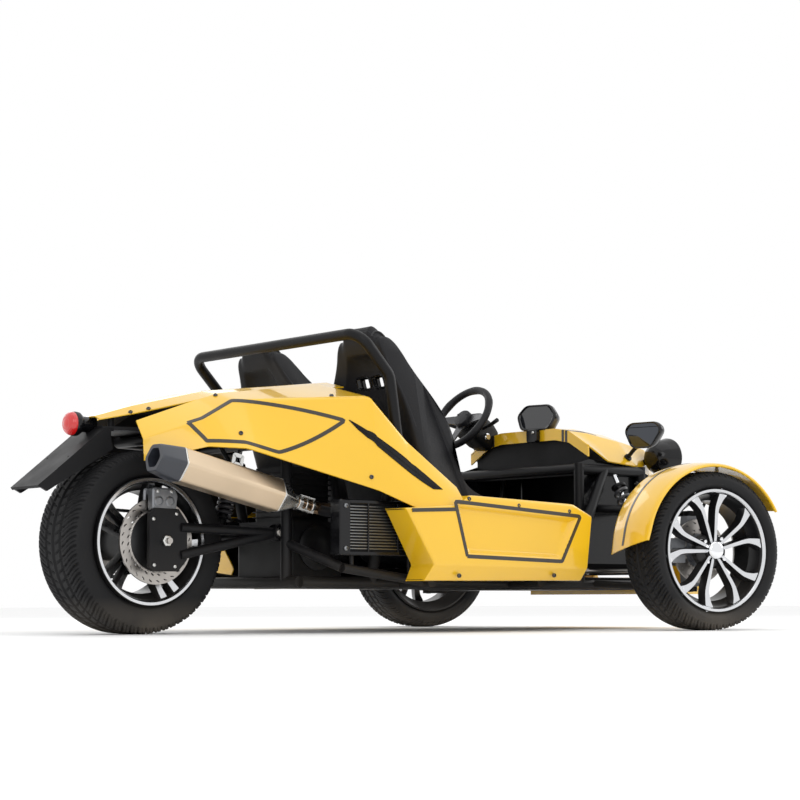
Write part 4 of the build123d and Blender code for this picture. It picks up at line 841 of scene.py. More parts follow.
def discs():
    """The drilled brake discs: two front ones with bells, and the large one on the rear hub."""
    for side, word in SIDES:
        joint = f"front_{word}_spin"
        origin, axes = joint_place(joint), hub_axes(joint, side)
        patches = drilled_disc(origin, axes, 0.062, 0.115, -0.022, -0.014, 18, 2, 0.0045)
        bell = [(0.062, -0.022), (0.044, -0.022), (0.044, 0.008), (0.028, 0.008), (0.028, 0.0155),
                (0.052, 0.0155), (0.052, -0.014), (0.062, -0.014)]
        patches.append(lathe(bell, origin, axes, 48, 1))
        build_piece(f"brake_disc_{word}", patches, [brake_steel(), cast_alloy()], f"front_wheel_{word}",
                    (f"front_disc_{word}",))
    axes = hub_axes("rear_spin", RIGHT)
    patches = drilled_disc(REAR_AXLE, axes, 0.098, 0.140, 0.1365, 0.1435, 28, 2, 0.0042)
    carrier = [(0.098, 0.1385), (0.072, 0.1385), (0.060, 0.1370), (0.0205, 0.1370), (0.0205, 0.1430),
               (0.060, 0.1430), (0.072, 0.1415), (0.098, 0.1415), (0.098, 0.1385)]
    patches.append(lathe(carrier, REAR_AXLE, axes, 64, 1))
    build_piece("rear_brake_disc", patches, [brake_steel(), dark_steel()], "rear_wheel",
                ("rear_disc",))


# Mudguard section: place across the tyre (outboard is positive), radius
FENDER_SECTION = np.array([
    (0.093, 0.2985), (0.100, 0.3010), (0.1000, 0.3070), (0.086, 0.3135), (0.020, 0.3195),
    (-0.052, 0.3190), (-0.108, 0.3125), (-0.122, 0.3080), (-0.1225, 0.3020),
])
# Bearings round the wheel from straight ahead, in degrees: the front edge, the rear edge and the stays
FENDER_FROM, FENDER_TO = 28.0, 174.0
STAY_BEARINGS = (60, 130)
# The rear edge's slant, in degrees for each metre inwards from the outer edge
FENDER_SLANT, FENDER_OUTER = 34.0 * 0.25 / 0.22, 0.1
FENDER_GAUGE = 0.004
STAY_IN, STAY_R = 0.113, 0.006
STRIPE_SPOT = -0.040


def fenders():
    """The front mudguards: a crowned section with a turned lip, carried round the tyre, and two stays each.

    The radius is a crown over the width. The rear edge is cut on a slant: its angle grows towards the inner
    side, and it flares a little.
    """
    for side, word in SIDES:
        pivot = joint_place(f"steer_{word}")
        joint = f"front_{word}_spin"
        hub, axes = joint_place(joint), hub_axes(joint, side)
        knots = np.arange(len(FENDER_SECTION))
        v = corner_samples(knots, 0.35, 4)
        across, radius = (soft_blend(knots, v, 0.35) @ FENDER_SECTION).T
        share = np.linspace(0, 1, 72)[:, None]
        to = FENDER_TO + FENDER_SLANT * (FENDER_OUTER - across)
        angle = np.radians(FENDER_FROM + share * (to - FENDER_FROM))
        flare = 0.006 * np.clip((share - 0.93) / 0.07, 0, 1) ** 2
        r = radius + flare
        front = unit(np.cross(Z_AXIS, axes[2]))
        ahead = front if front[0] > 0 else -front
        points = hub + (r * np.cos(angle))[..., None] * ahead + (r * np.sin(angle))[..., None] * Z_AXIS
        points = points + (across + 0 * share)[..., None] * axes[2]
        if side == LEFT:
            points = points[:, ::-1]
        patches = shell(points, FENDER_GAUGE, unit(ahead * -0.2 + Z_AXIS))
        for bearing in STAY_BEARINGS:
            b = math.radians(bearing)
            out = math.cos(b) * ahead + math.sin(b) * Z_AXIS
            top = hub + 0.300 * out - STAY_IN * axes[2]
            knee = hub + 0.167 * out - STAY_IN * axes[2]
            foot = pivot - 0.024 * math.cos(b) * ahead - 0.018 * axes[2] + 0.070 * Z_AXIS
            patches.extend(tube(bent_path([foot, knee, top], 0.3), STAY_R, 14, finish=1))
            patches.append(screw_head(top + 0.0165 * out, out, 0.008, 1))
        body = f"knuckle_{word}"
        build_piece(f"mudguard_{word}", patches, [body_yellow(), frame_black()], body,
                    (f"fender_{word}",))
        column = int(np.argmin(np.abs(across - STRIPE_SPOT)))
        column = -1 - column if side == LEFT else column
        lines = tape(points[2:-1, column], normals_of(points)[2:-1, column], 0.013, 0.0008)
        build_piece(f"mudguard_stripe_{word}", lines, [stripe_black()], body)


# Body skins

# Tail cover stations: from the rear axle, half width, height of the crown, drop to the edge
TAIL_STATIONS = (
    (-0.176, 0.070, 0.706, 0.012), (-0.054, 0.120, 0.745, 0.025), (0.190, 0.205, 0.806, 0.024),
    (0.715, 0.228, 0.870, 0.024),
)
# Side panel stations: from the rear axle, then (out, up) of the seam, the shoulder and the low edge
SIDE_STATIONS = (
    (-0.112, (0.188, 0.684), (0.230, 0.622), (0.236, 0.552)),
    (0.075, (0.208, 0.752), (0.290, 0.692), (0.325, 0.602)),
    (0.190, (0.218, 0.790), (0.296, 0.762), (0.385, 0.598)),
    (0.625, (0.236, 0.848), (0.480, 0.787), (0.522, 0.471)),
    (0.765, (0.452, 0.646), (0.505, 0.640), (0.578, 0.408)),
    (0.945, (0.528, 0.500), (0.552, 0.492), (0.606, 0.425)),
)
# Cowl stations: from the front axle, then (out, up) of the crown edge, the crease and the low edge
COWL_STATIONS = (
    (-0.120, (0.150, 0.766), (0.225, 0.752), (0.325, 0.694)),
    (-0.028, (0.160, 0.768), (0.240, 0.745), (0.345, 0.634)),
    (0.130, (0.165, 0.752), (0.245, 0.722), (0.340, 0.622)),
    (0.330, (0.150, 0.716), (0.205, 0.700), (0.228, 0.600)),
    (0.430, (0.120, 0.590), (0.165, 0.575), (0.190, 0.470)),
)
GAUGE = 0.005


def tail_net():
    """The tail cover's net: four points across each station, with a flat crown and a slope to each edge."""
    rows = [
        [(REAR_X + x, w * half, crown - (drop if abs(w) == 1 else 0)) for w in (-1, -0.55, 0.55, 1)]
        for x, half, crown, drop in TAIL_STATIONS
    ]
    return np.array(rows)


def side_net():
    """The right side panel's net: seam, shoulder and low edge at each station."""
    return np.array([[(REAR_X + x, -out, up) for out, up in edges] for x, *edges in SIDE_STATIONS])


def cowl_net():
    """The cowl's net: low edge, crease and crown on the right, then the same on the left."""
    rows = []
    for x, crown, crease, low in COWL_STATIONS:
        right = [(FRONT_X + x, -out, up) for out, up in (low, crease, crown)]
        rows.append(right + [(FRONT_X + x, out, up) for out, up in (crown, crease, low)])
    return np.array(rows)


# Pod columns: station and height of the top, of the crease and of the bottom, from the rear to the front
POD_COLUMNS = (
    ((0.668, 0.411), (0.782, 0.226), (0.756, 0.172)),
    ((0.905, 0.428), (0.930, 0.2255), (0.915, 0.173)),
    ((0.955, 0.462), (0.980, 0.225), (0.965, 0.173)),
    ((1.451, 0.446), (1.440, 0.221), (1.430, 0.176)),
    ((1.545, 0.406), (1.508, 0.220), (1.494, 0.176)),
)
POD_OUT, POD_IN = 0.624, 0.505
# Pocket in the pod's face: its corners as (station, height)
POCKET = np.array([(0.893, 0.431), (1.470, 0.397), (1.377, 0.250), (0.935, 0.262)])
POCKET_DEPTH, POCKET_SLOPE = 0.016, 0.020


def pod_net():
    """The right pod's net: from the inner top edge over the face and the crease to the inner bottom edge.

    One more column at each end folds the face back to the inner plane, so that the ends are closed.
    """
    columns = []
    for top, crease, low in POD_COLUMNS:
        rows = [(top, POD_IN), (top, POD_OUT - 0.010), (crease, POD_OUT), (low, POD_OUT - 0.022),
                (low, POD_IN)]
        columns.append([(REAR_X + x, -out, up) for (x, up), out in rows])
    ends = [[(x, -POD_IN, z) for x, y, z in column] for column in (columns[0], columns[-1])]
    return np.array([ends[0]] + columns + [ends[1]])


def inside_depth(points, corners):
    """How far points lie inside a convex outline: the least distance to its sides, negative outside."""
    edge = unit(np.roll(corners, -1, 0) - corners)
    square = np.stack([edge[:, 1], -edge[:, 0]], -1)
    return ((points[..., None, :] - corners) * square).sum(-1).min(-1)


def pod_surface():
    """The pod's skin: points of the net, pressed in where they lie inside the pocket's outline."""
    net = pod_net()
    rows, columns = np.arange(net.shape[0]), np.arange(net.shape[1])
    u = np.unique(np.concatenate([corner_samples(rows, 0.06, 6), np.linspace(1, 5, 200)]))
    v = np.unique(np.concatenate([corner_samples(columns, 0.07, 6), np.linspace(1, 2, 70)]))
    points = np.einsum("ui,vj,ijk->uvk", soft_blend(rows, u, 0.06), soft_blend(columns, v, 0.07), net)
    flat = np.stack([points[..., 0] - REAR_X, points[..., 2]], -1)
    pressed = smooth(inside_depth(flat, POCKET) / POCKET_SLOPE)
    on_face = np.clip((-points[..., 1] - (POD_OUT - 0.014)) / 0.004, 0, 1)
    points[..., 1] += POCKET_DEPTH * pressed * on_face
    return points


LIP_DROP, LIP_GAUGE = 0.045, 0.008


def cowl_lip(skin):
    """The lip at the cowl's rear: the skin's rear edge carried straight down."""
    drop = np.linspace(0, LIP_DROP, 4)[:, None, None]
    return skin[0] - drop * Z_AXIS


def skin_piece(name, points, node, facing, more=()):
    """A painted sheet with dark inside, softened at its rim."""
    patches = shell(points, GAUGE, facing, 0, 1) + list(more)
    piece = build_piece(name, patches, [body_yellow(), trim_black()], CHASSIS, (node,), 30.0)
    bevel = piece.modifiers.new("Rim", "BEVEL")
    bevel.width = 0.0012
    bevel.segments = 2
    bevel.limit_method = "ANGLE"
    bevel.angle_limit = math.radians(50)


def body_skins():
    """Tail cover, side panels, side pods and cowl as sheets with rounded creases."""
    skin_piece("tail_skin", creased(tail_net(), 0.10, 0.10, 10, 8), "tail_cover", Z_AXIS)
    sheets = (
        ("quarter_panel", "side_panel", creased(side_net(), 0.05, 0.05, 12, 10)),
        ("sill_pod", "side_pod", pod_surface()),
    )
    for side, word in SIDES:
        for name, node, points in sheets:
            skin_piece(f"{name}_{word}", points * (1, -side, 1), f"{node}_{word}", (0, side, 0.3))
    cowl = creased(cowl_net(), 0.06, 0.05, 10, 8)
    skin_piece("cowl_skin", cowl, "cowl", Z_AXIS, shell(cowl_lip(cowl), LIP_GAUGE, -X_AXIS, 0, 1))


# Seats

# Seat loop in pairs: the middle pad and the bolster at the same place round the seat, from the rear foot, as
# (forward, up)
SEAT_LOOP = (
    ((0.000, 0.000), (0.000, 0.000)), ((0.250, 0.020), (0.250, 0.020)), ((0.490, 0.040), (0.490, 0.040)),
    ((0.520, 0.100), (0.520, 0.110)), ((0.505, 0.148), (0.500, 0.186)), ((0.290, 0.134), (0.300, 0.217)),
    ((0.075, 0.120), (0.125, 0.262)), ((0.010, 0.225), (0.098, 0.370)), ((-0.060, 0.475), (0.066, 0.490)),
    ((-0.130, 0.645), (-0.022, 0.602)), ((-0.176, 0.785), (-0.112, 0.705)),
    ((-0.204, 0.834), (-0.165, 0.785)), ((-0.240, 0.834), (-0.218, 0.800)),
    ((-0.249, 0.785), (-0.238, 0.772)), ((-0.212, 0.715), (-0.213, 0.715)),
    ((-0.118, 0.485), (-0.118, 0.485)), ((-0.040, 0.205), (-0.040, 0.205)),
)
SEAT_PLACE = (REAR_X + 0.940, 0.248, 0.215)
SEAT_HALF = 0.222
# Head of the seat: heights where it starts and ends to narrow, share of the width left, and how far it leans
# outboard and forward
HEAD_FROM, HEAD_TO = 0.500, 0.800
HEAD_WIDTH = 0.52
HEAD_OUT, HEAD_FORWARD = 0.048, 0.016
# Across the half width: where the pad ends, how wide the step up to the bolster is, and where the edge starts
# to be drawn in and by how much
PAD_HALF, STEP_WIDTH = 0.52, 0.26
EDGE_FROM, EDGE_DRAW = 0.86, 0.026
# Padding: how far the simulation may swell it, its frames and pressure, its run round the loop, and the
# places of the seams across
PAD_CAP = 0.012
PAD_FRAMES = 20
PAD_PRESSURE = 4.0
PAD_FROM, PAD_TO = 3.6, 12.4
SEAM_SPOTS = (-0.66, 0.66)
# Sewn channels: their run round the loop, and the half width that they cross
CHANNEL_FROM, CHANNEL_TO = 4.3, 10.2
CHANNEL_HALF = 0.62
# Slots for belts: places round the loop, places across, size
SLOT_FRONT, SLOT_BACK = 9.03, 14.29
SLOT_SPOTS = (-0.13, 0.33)
SLOT_SIZE = (0.072, 0.050)
# Rings of a slot's rim: inset, height
SLOT_RINGS = ((0, -0.010), (0, 0.003), (0.002, 0.005), (0.005, 0.005), (0.007, 0.003), (0.007, -0.010))
# Hollow in the seat's back round the slots: depth, half height in turns, middle and half width across
HOLLOW_DEPTH = 0.026
HOLLOW_TURNS = 0.62
HOLLOW_SPOT, HOLLOW_HALF = 0.10, 0.62


def seat_surface(turns, across):
    """A bucket seat: closed loops round it that change from the pad's to the bolster's across its width.

    An eased step takes the loop from pad to bolster. Near each side the loop is drawn in to its own middle
    along a quarter ellipse, which rounds the seat's edge. Towards its head the seat narrows by an eased step
    of the height and leans a little outboard, which is +Y here, and forward. A shallow hollow in the back
    thins it round the slots.
    """
    pairs = np.array(SEAT_LOOP)
    count = len(pairs)
    looped = np.concatenate([pairs[-2:], pairs, pairs[:3]])
    weights = soft_blend(np.arange(-2, count + 3), turns, 0.45)
    pad, bolster = (np.einsum("ti,ik->tk", weights, looped[:, k]) for k in (0, 1))
    place = np.abs(across)
    step = smooth((place - PAD_HALF) / STEP_WIDTH)[None, :, None]
    loop = pad[:, None] * (1 - step) + bolster[:, None] * step
    edge = np.clip((place - EDGE_FROM) / (1 - EDGE_FROM), 0, 1)
    drawn = (1 - np.sqrt(np.clip(1 - edge**2, 0, 1)))[None, :, None]
    middle = loop.mean(0, keepdims=True)
    inward = unit(middle - loop + 1e-9)
    loop = loop + inward * drawn * EDGE_DRAW
    head = smooth((loop[..., 1] - HEAD_FROM) / (HEAD_TO - HEAD_FROM))
    y = SEAT_HALF * across * (1 - (1 - HEAD_WIDTH) * head) + HEAD_OUT * head
    rise = np.clip(1 - ((turns - SLOT_BACK) / HOLLOW_TURNS) ** 4, 0, 1)[:, None]
    spread = np.clip(1 - ((across - HOLLOW_SPOT) / HOLLOW_HALF) ** 4, 0, 1)[None, :]
    x = loop[..., 0] + HEAD_FORWARD * head + HOLLOW_DEPTH * rise * spread
    return np.stack([x, y, loop[..., 1]], -1)


def swollen(points, held, cap):
    """A closed form of rings after a cloth simulation: pressure swells it between the held points.

    Each point keeps the way it moved, and no more of the distance than the cap.
    """
    rows, columns = points.shape[:2]
    faces = grid_patch(points, True)[1].tolist()
    ends = [(np.arange(rows) * columns + column).tolist() for column in (0, columns - 1)]
    mesh = bpy.data.meshes.new("pad_form")
    mesh.from_pydata(points.reshape(-1, 3).tolist(), [], faces + ends)
    face_outwards(mesh)
    pad = bpy.data.objects.new("pad_form", mesh)
    scene = bpy.context.scene
    scene.collection.objects.link(pad)
    pad.vertex_groups.new(name="Sewn").add(np.flatnonzero(held.ravel()).tolist(), 1.0, "REPLACE")
    cloth = pad.modifiers.new("Padding", "CLOTH")
    cloth.settings.vertex_group_mass = "Sewn"
    cloth.settings.use_pressure = True
    cloth.settings.uniform_pressure_force = PAD_PRESSURE
    cloth.settings.effector_weights.gravity = 0.0
    cloth.collision_settings.use_collision = False
    cloth.point_cache.frame_start = 1
    cloth.point_cache.frame_end = PAD_FRAMES
    for step in range(1, PAD_FRAMES + 1):
        scene.frame_set(step)
    settled = pad.evaluated_get(bpy.context.evaluated_depsgraph_get())
    places = np.empty(points.size, np.float32)
    settled.data.vertices.foreach_get("co", places)
    bpy.data.objects.remove(pad)
    bpy.data.meshes.remove(mesh)
    scene.frame_set(1)
    move = places.reshape(points.shape) - points
    length = np.linalg.norm(move, axis=-1, keepdims=True)
    return points + move * np.minimum(1, cap / np.maximum(length, 1e-9))


def cut_through(piece, patches):
    """Take closed shapes out of a piece with an exact boolean and keep the result as its mesh."""
    cutter = bpy.data.objects.new("cutter", joined_mesh("cutter", patches))
    bpy.context.scene.collection.objects.link(cutter)
    cut = piece.modifiers.new("Cut", "BOOLEAN")
    cut.object = cutter
    cut.solver = "EXACT"
    whole = piece.data
    result = bpy.data.meshes.new_from_object(piece.evaluated_get(bpy.context.evaluated_depsgraph_get()))
    piece.modifiers.remove(cut)
    piece.data = result
    hole = cutter.data
    bpy.data.objects.remove(cutter)
    bpy.data.meshes.remove(hole)
    bpy.data.meshes.remove(whole)


def seat_form(turns, across):
    """The padded seat: pressed by the simulation between its seams, with a sewn groove along each channel."""
    form = seat_surface(turns, across)
    outward = normals_of(form)
    outward *= np.sign((outward * (form - form.mean(0, keepdims=True))).sum(-1).mean())
    padded = (turns > PAD_FROM) & (turns < PAD_TO)
    channel = np.abs((turns * 2) % 1.0 - 0.5)
    front = np.clip(np.minimum(turns - CHANNEL_FROM, CHANNEL_TO - turns) / 0.5, 0, 1)[:, None]
    place = np.abs(across)
    middle = np.clip((CHANNEL_HALF - place) / 0.06, 0, 1)[None, :]
    seam = place - SEAM_SPOTS[1]
    held = ~padded[:, None] | (np.abs(seam) < 0.02)[None, :] | (place > 0.93)[None, :]
    held = held | ((channel < 0.06)[:, None] & (front > 0) & (middle > 0))
    form = swollen(form - 0.003 * outward * ~held[..., None], held, PAD_CAP)
    groove = 0.0035 * front * middle * np.exp(-((channel / 0.07) ** 2))[:, None]
    stitch = 0.0025 * padded[:, None] * np.exp(-((seam / 0.02) ** 2))[None, :]
    return form - outward * (groove + stitch)[..., None]


def slot_centre(turn, spot, backward):
    """A place on the seat and its normal, forward or backward."""
    steps = np.array([-1, 0, 1])
    near = seat_surface(turn + 0.15 * steps, spot + 0.01 * steps)
    square = normals_of(near)[1, 1]
    return near[1, 1], square * np.sign(square[0]) * (-1 if backward else 1)


def seats():
    """The two bucket seats with piped seams and open slots for belts."""
    turns = np.linspace(0, len(SEAT_LOOP), 360, endpoint=False)
    edge = np.linspace(EDGE_FROM, 1, 8)[1:]
    across = np.concatenate([-edge[::-1], np.linspace(-EDGE_FROM, EDGE_FROM, 57), edge])
    form = seat_form(turns, across)
    for side, word in SIDES:
        flip = np.array([1, side, 1])
        place = flip * SEAT_PLACE
        points = form * flip + place
        patches = [grid_patch(points, True, False), cap_patch(points[:, 0]), cap_patch(points[:, -1])]
        seat = build_piece(f"bucket_seat_{word}", patches, [seat_leather()], CHASSIS,
                           (f"seat_{word}",), 60.0)
        seams, holes = [], []
        for spot in SEAM_SPOTS:
            course = np.linspace(PAD_FROM - 0.2, PAD_TO + 0.2, 150)
            line = seat_surface(course, np.array([spot]))[:, 0] * flip + place
            seams.extend(tube(line, 0.0035, 8, Y_AXIS))
        rim = rounded(box_outline(*SLOT_SIZE), 0.016)
        for spot in SLOT_SPOTS:
            ends = []
            for turn, backward in ((SLOT_FRONT, False), (SLOT_BACK, True)):
                centre, square = slot_centre(turn, spot, backward)
                ends.append(centre * flip + place)
                seams.extend(moulded(rim, SLOT_RINGS, ends[-1], axes_of(square * flip, Z_AXIS), 1)[:1])
            reach = ends[1] - ends[0]
            axes = axes_of(reach, Z_AXIS)
            length = np.linalg.norm(reach)
            holes.extend(moulded(inset(rim, 0.004), ((0, -0.05), (0, length + 0.05)), ends[0], axes))
        cut_through(seat, holes)
        build_piece(f"seat_trim_{word}", seams, [seat_piping(), gloss_black()], CHASSIS)


# Exhaust

MUFFLER_TIP = np.array([REAR_X - 0.148, -0.345, 0.555])
MUFFLER_FRONT = np.array([REAR_X + 0.334, -0.345, 0.450])
MUFFLER_R = 0.064
OUTLET_R = 0.0333
# Along the muffler from its tip: the start of the skin; past its front: the end of the cone
SKIN_FROM, CONE_LENGTH = 0.0885, 0.080
PIPE_R = 0.021
# Rings of a weld: share of the muffler's radius, height
WELD_RINGS = ((0.994, 0), (1.004, 0.0012), (1.004, 0.0050), (0.994, 0.0062))
# Collars on the pipe: start past the cone, radius, width
COLLARS = ((0.004, 0.0245, 0.016), (0.034, 0.0235, 0.008), (0.060, 0.0245, 0.012))
HOOK_TURNS = (0.6, 2.2, 4.0)


def six_sided(radius, soft):
    """A rounded hexagon."""
    return rounded(polar(radius, round_angles(6)), soft, 7)


def exhaust():
    """Muffler: rounded hexagons joined along its axis, an end cap, a hanger and a pipe with hook springs."""
    axes = axes_of(MUFFLER_FRONT - MUFFLER_TIP, Z_AXIS)
    length = np.linalg.norm(MUFFLER_FRONT - MUFFLER_TIP)
    edge = 0.010
    outlet = unit(six_sided(MUFFLER_R, edge)) * OUTLET_R
    cap = [(outlet, 0.0616), (outlet, 0.0), (six_sided(0.77 * MUFFLER_R, edge), 0.0),
           (six_sided(0.81 * MUFFLER_R, edge), 0.004), (six_sided(0.998 * MUFFLER_R, edge), 0.084),
           (six_sided(MUFFLER_R, edge), 0.0878)]
    patches = loft_rings(cap, MUFFLER_TIP, axes, 0, (True, True))
    build_piece("muffler_end_cap", patches, [cap_black()], CHASSIS, ("muffler_cap",))
    wide = six_sided(0.996 * MUFFLER_R, edge)
    body = [(wide, SKIN_FROM), (wide, length - 0.006)]
    cone = [(wide, length - 0.006), (six_sided(0.98 * MUFFLER_R, edge), length + 0.002),
            (six_sided(0.0290, 0.008), length + 0.068), (six_sided(0.0250, 0.006), length + CONE_LENGTH)]
    patches = loft_rings(body, MUFFLER_TIP, axes, 0, (True, False))
    patches.extend(loft_rings(cone, MUFFLER_TIP, axes, 1, (False, True)))
    for start in (SKIN_FROM, length - 0.0075):
        weld = [(six_sided(r * MUFFLER_R, edge), start + h) for r, h in WELD_RINGS]
        patches.extend(loft_rings(weld, MUFFLER_TIP, axes, 1))
    hanger = np.array([REAR_X + 0.195, -0.345, 0.490])
    head = np.array([REAR_X + 0.195, -0.195, 0.640])
    reach = head - hanger
    patches.append(rod(hanger + 0.32 * reach, head - 0.06 * reach, 0.008, 16, finish=2))
    ear = MUFFLER_TIP + 0.300 * axes[2] + 0.866 * MUFFLER_R * axes[1] - 0.020 * Y_AXIS
    loop = rounded(box_outline(0.046, 0.042), 0.012)
    rings = ((0.0, 0.0), (0.0, 0.005), (0.013, 0.005), (0.013, 0.0), (0.0, 0.0))
    ear_axes = np.stack([axes[2], axes[1], -axes[0]])
    patches.extend(moulded(loop, rings, ear + 0.014 * axes[1], ear_axes, 1)[:1])
    build_piece("muffler_body", patches, [muffler_skin(), zinc_steel(), frame_black()], CHASSIS,
                ("muffler",))
    end = MUFFLER_TIP + axes[2] * (length + CONE_LENGTH)
    port_x = REAR_X + 0.660
    corners = [end - 0.012 * axes[2], end + 0.110 * axes[2], (port_x, -0.325, 0.420),
               (port_x, -0.118, 0.420)]
    path = bent_path(corners, 0.30, 12)
    patches = tube(path, PIPE_R, 24, Z_AXIS + 0.3 * Y_AXIS)
    for start, radius, width in COLLARS:
        patches.append(rod(end + start * axes[2], end + (start + width) * axes[2], radius, 32, finish=1))
    for turn in HOOK_TURNS:
        hook = end + 0.029 * put((math.cos(turn), math.sin(turn), 0.0), (0, 0, 0), axes)
        patches.extend(coil(hook + 0.006 * axes[2], hook + 0.066 * axes[2], 0.0036, 0.0009, 14, 10, 5, 1))
    build_piece("exhaust_header", patches, [pipe_steel(), zinc_steel()], CHASSIS,
                ("exhaust_pipe",))


# Radiator

# Radiator: its two ends, low and high edges, middle plane, width of an end tank, and the front bars
RADIATOR_X = (REAR_X + 0.485, REAR_X + 0.865)
RADIATOR_Z = (0.256, 0.440)
RADIATOR_Y = -0.465
TANK_WIDTH = 0.046
BAR_COUNT, BAR_R = 15, 0.0019


def radiator():
    """Radiator: a near-black core plate of painted shade, standing for the depth between its fins, behind bright
    bars, upright stays, end tanks and a hose neck.
    """
    x0, x1 = RADIATOR_X
    low, high = RADIATOR_Z
    y, tank = RADIATOR_Y, TANK_WIDTH
    middle_x, middle_z = (x0 + x1) / 2, (low + high) / 2

    def plate(width, height, corner, thickness, place, edge, finish=0):
        """A slab of a rectangle that runs outboard from its place."""
        return slab(box_outline(width, height), corner, thickness, place, axes_of(-Y_AXIS), edge, finish)

    patches = []
    for x in (x0 + tank / 2, x1 - tank / 2):
        patches.extend(plate(tank, high - low, 0.008, 0.054, (x, y + 0.027, middle_z), 0.004))
        for z in (low + 0.022, high - 0.022):
            patches.append(screw_head((x, y - 0.027, z), -Y_AXIS, 0.008, 2))
    for z in (low + 0.007, high - 0.007):
        patches.extend(plate(x1 - x0 - 0.08, 0.013, 0.004, 0.046, (middle_x, y + 0.023, z), 0.002))
    core_size = (x1 - x0 - 2 * tank, high - low - 0.024)
    # The core is a flat plate of painted shade: near-black for the depth between its fins
    patches.extend(plate(*core_size, 0.003, 0.030, (middle_x, y + 0.017, middle_z), 0.001, 1))
    for z in np.linspace(low + 0.022, high - 0.022, BAR_COUNT):
        for face in (y - 0.018, y + 0.018):
            ends = [(x0 + tank - 0.004, face, z), (x1 - tank + 0.004, face, z)]
            patches.extend(tube(ends, BAR_R, 8, Z_AXIS, 2))
    for x in (x0 + 0.125, x0 + 0.255):
        patches.extend(plate(0.006, high - low - 0.02, 0.002, 0.004, (x, y - 0.019, middle_z), 0.001))
    neck = np.array([x0 + tank / 2, y + 0.02, high - 0.045])
    hose = bent_path([neck, neck + (0, 0.08, 0.01), neck + (0.05, 0.17, 0.03)], 0.3)
    patches.extend(tube(hose, 0.017, 16, Z_AXIS, 3))
    build_piece("radiator_unit", patches, [gloss_black(), painted_shade_black(), fin_alloy(), trim_black()], CHASSIS,
                ("radiator",))


# Suspension springs

# Spring units: radii of the shaft, the damper and the wire, turns of the coil, share of the reach at its
# lower collar, and how far out the front ones stand
SHAFT_R, DAMPER_R, WIRE_R = 0.0085, 0.017, 0.0058
COIL_TURNS = 10.5
COIL_FROM = 0.2
SPRING_FOOT_Y = 0.560


def springs():
    """Three spring units: a damper, a coil and its two collars, with the eyes that hold them."""
    patches = []
    # Units: foot, head, radius of the coil, share of the reach at its upper collar
    units = [
        ((FRONT_X, side * SPRING_FOOT_Y, 0.175), (FRONT_X, side * 0.336, 0.600), 0.0250, 0.85)
        for side in (RIGHT, LEFT)
    ]
    units.append(((REAR_X + 0.345, 0, 0.325), (REAR_X + 0.445, 0, 0.640), 0.0270, 0.80))
    for foot, head, radius, top in units:
        foot, head = np.array(foot), np.array(head)
        reach = head - foot
        patches.append(rod(foot + 0.01 * reach, head - 0.045 * reach, SHAFT_R, 20, finish=1))
        patches.append(rod(foot + 0.10 * reach, foot + 0.58 * reach, DAMPER_R, 28, finish=0))
        low, high = foot + (COIL_FROM + 0.01) * reach, foot + (top - 0.01) * reach
        patches.extend(coil(low, high, radius - 0.001, WIRE_R, COIL_TURNS, 20, 10, 2))
        for spot in (COIL_FROM, top):
            low, high = foot + (spot - 0.012) * reach, foot + (spot + 0.012) * reach
            patches.append(rod(low, high, radius + 0.0035, 36, finish=0))
    for side in (RIGHT, LEFT):
        eye = np.array([FRONT_X, side * SPRING_FOOT_Y, 0.160])
        patches.append(rod(eye - 0.040 * X_AXIS, eye + 0.040 * X_AXIS, 0.010, 20, finish=0))
        patches.append(rod(eye, eye + 0.018 * Z_AXIS, 0.009, 20, finish=0))
    build_piece("spring_dampers", patches, [frame_black(), bright_chrome(), spring_coat()], CHASSIS,
                ("spring_units",))


# Cockpit

WHEEL_HUB = np.array([FRONT_X - 0.245, 0.240, 0.825])
COLUMN_AXIS = np.array([math.cos(math.radians(32)), 0, -math.sin(math.radians(32))])
GAUGE_PLACE = np.array([FRONT_X - 0.120, -0.045, 0.815])
GAUGE_FACE = np.array([(-62, 54), (62, 54), (102, 10), (72, -50), (-72, -50), (-102, 10)])[::-1] / 1000
# Rings of the gauge, from the glass over the rim to the back: share of the face, height
GAUGE_RINGS = ((0.84, 0.004), (0.86, 0.002), (0.95, 0.0), (1, 0.006), (0.98, 0.022), (0.80, 0.055),
               (0.60, 0.074))
WHEEL_R, GRIP_R = 0.135, 0.0145
COLUMN_START = WHEEL_HUB + 0.0354 * COLUMN_AXIS


def bearing_way(degrees):
    """A unit vector in a plane at a bearing."""
    return np.array([math.cos(math.radians(degrees)), math.sin(math.radians(degrees)), 0])


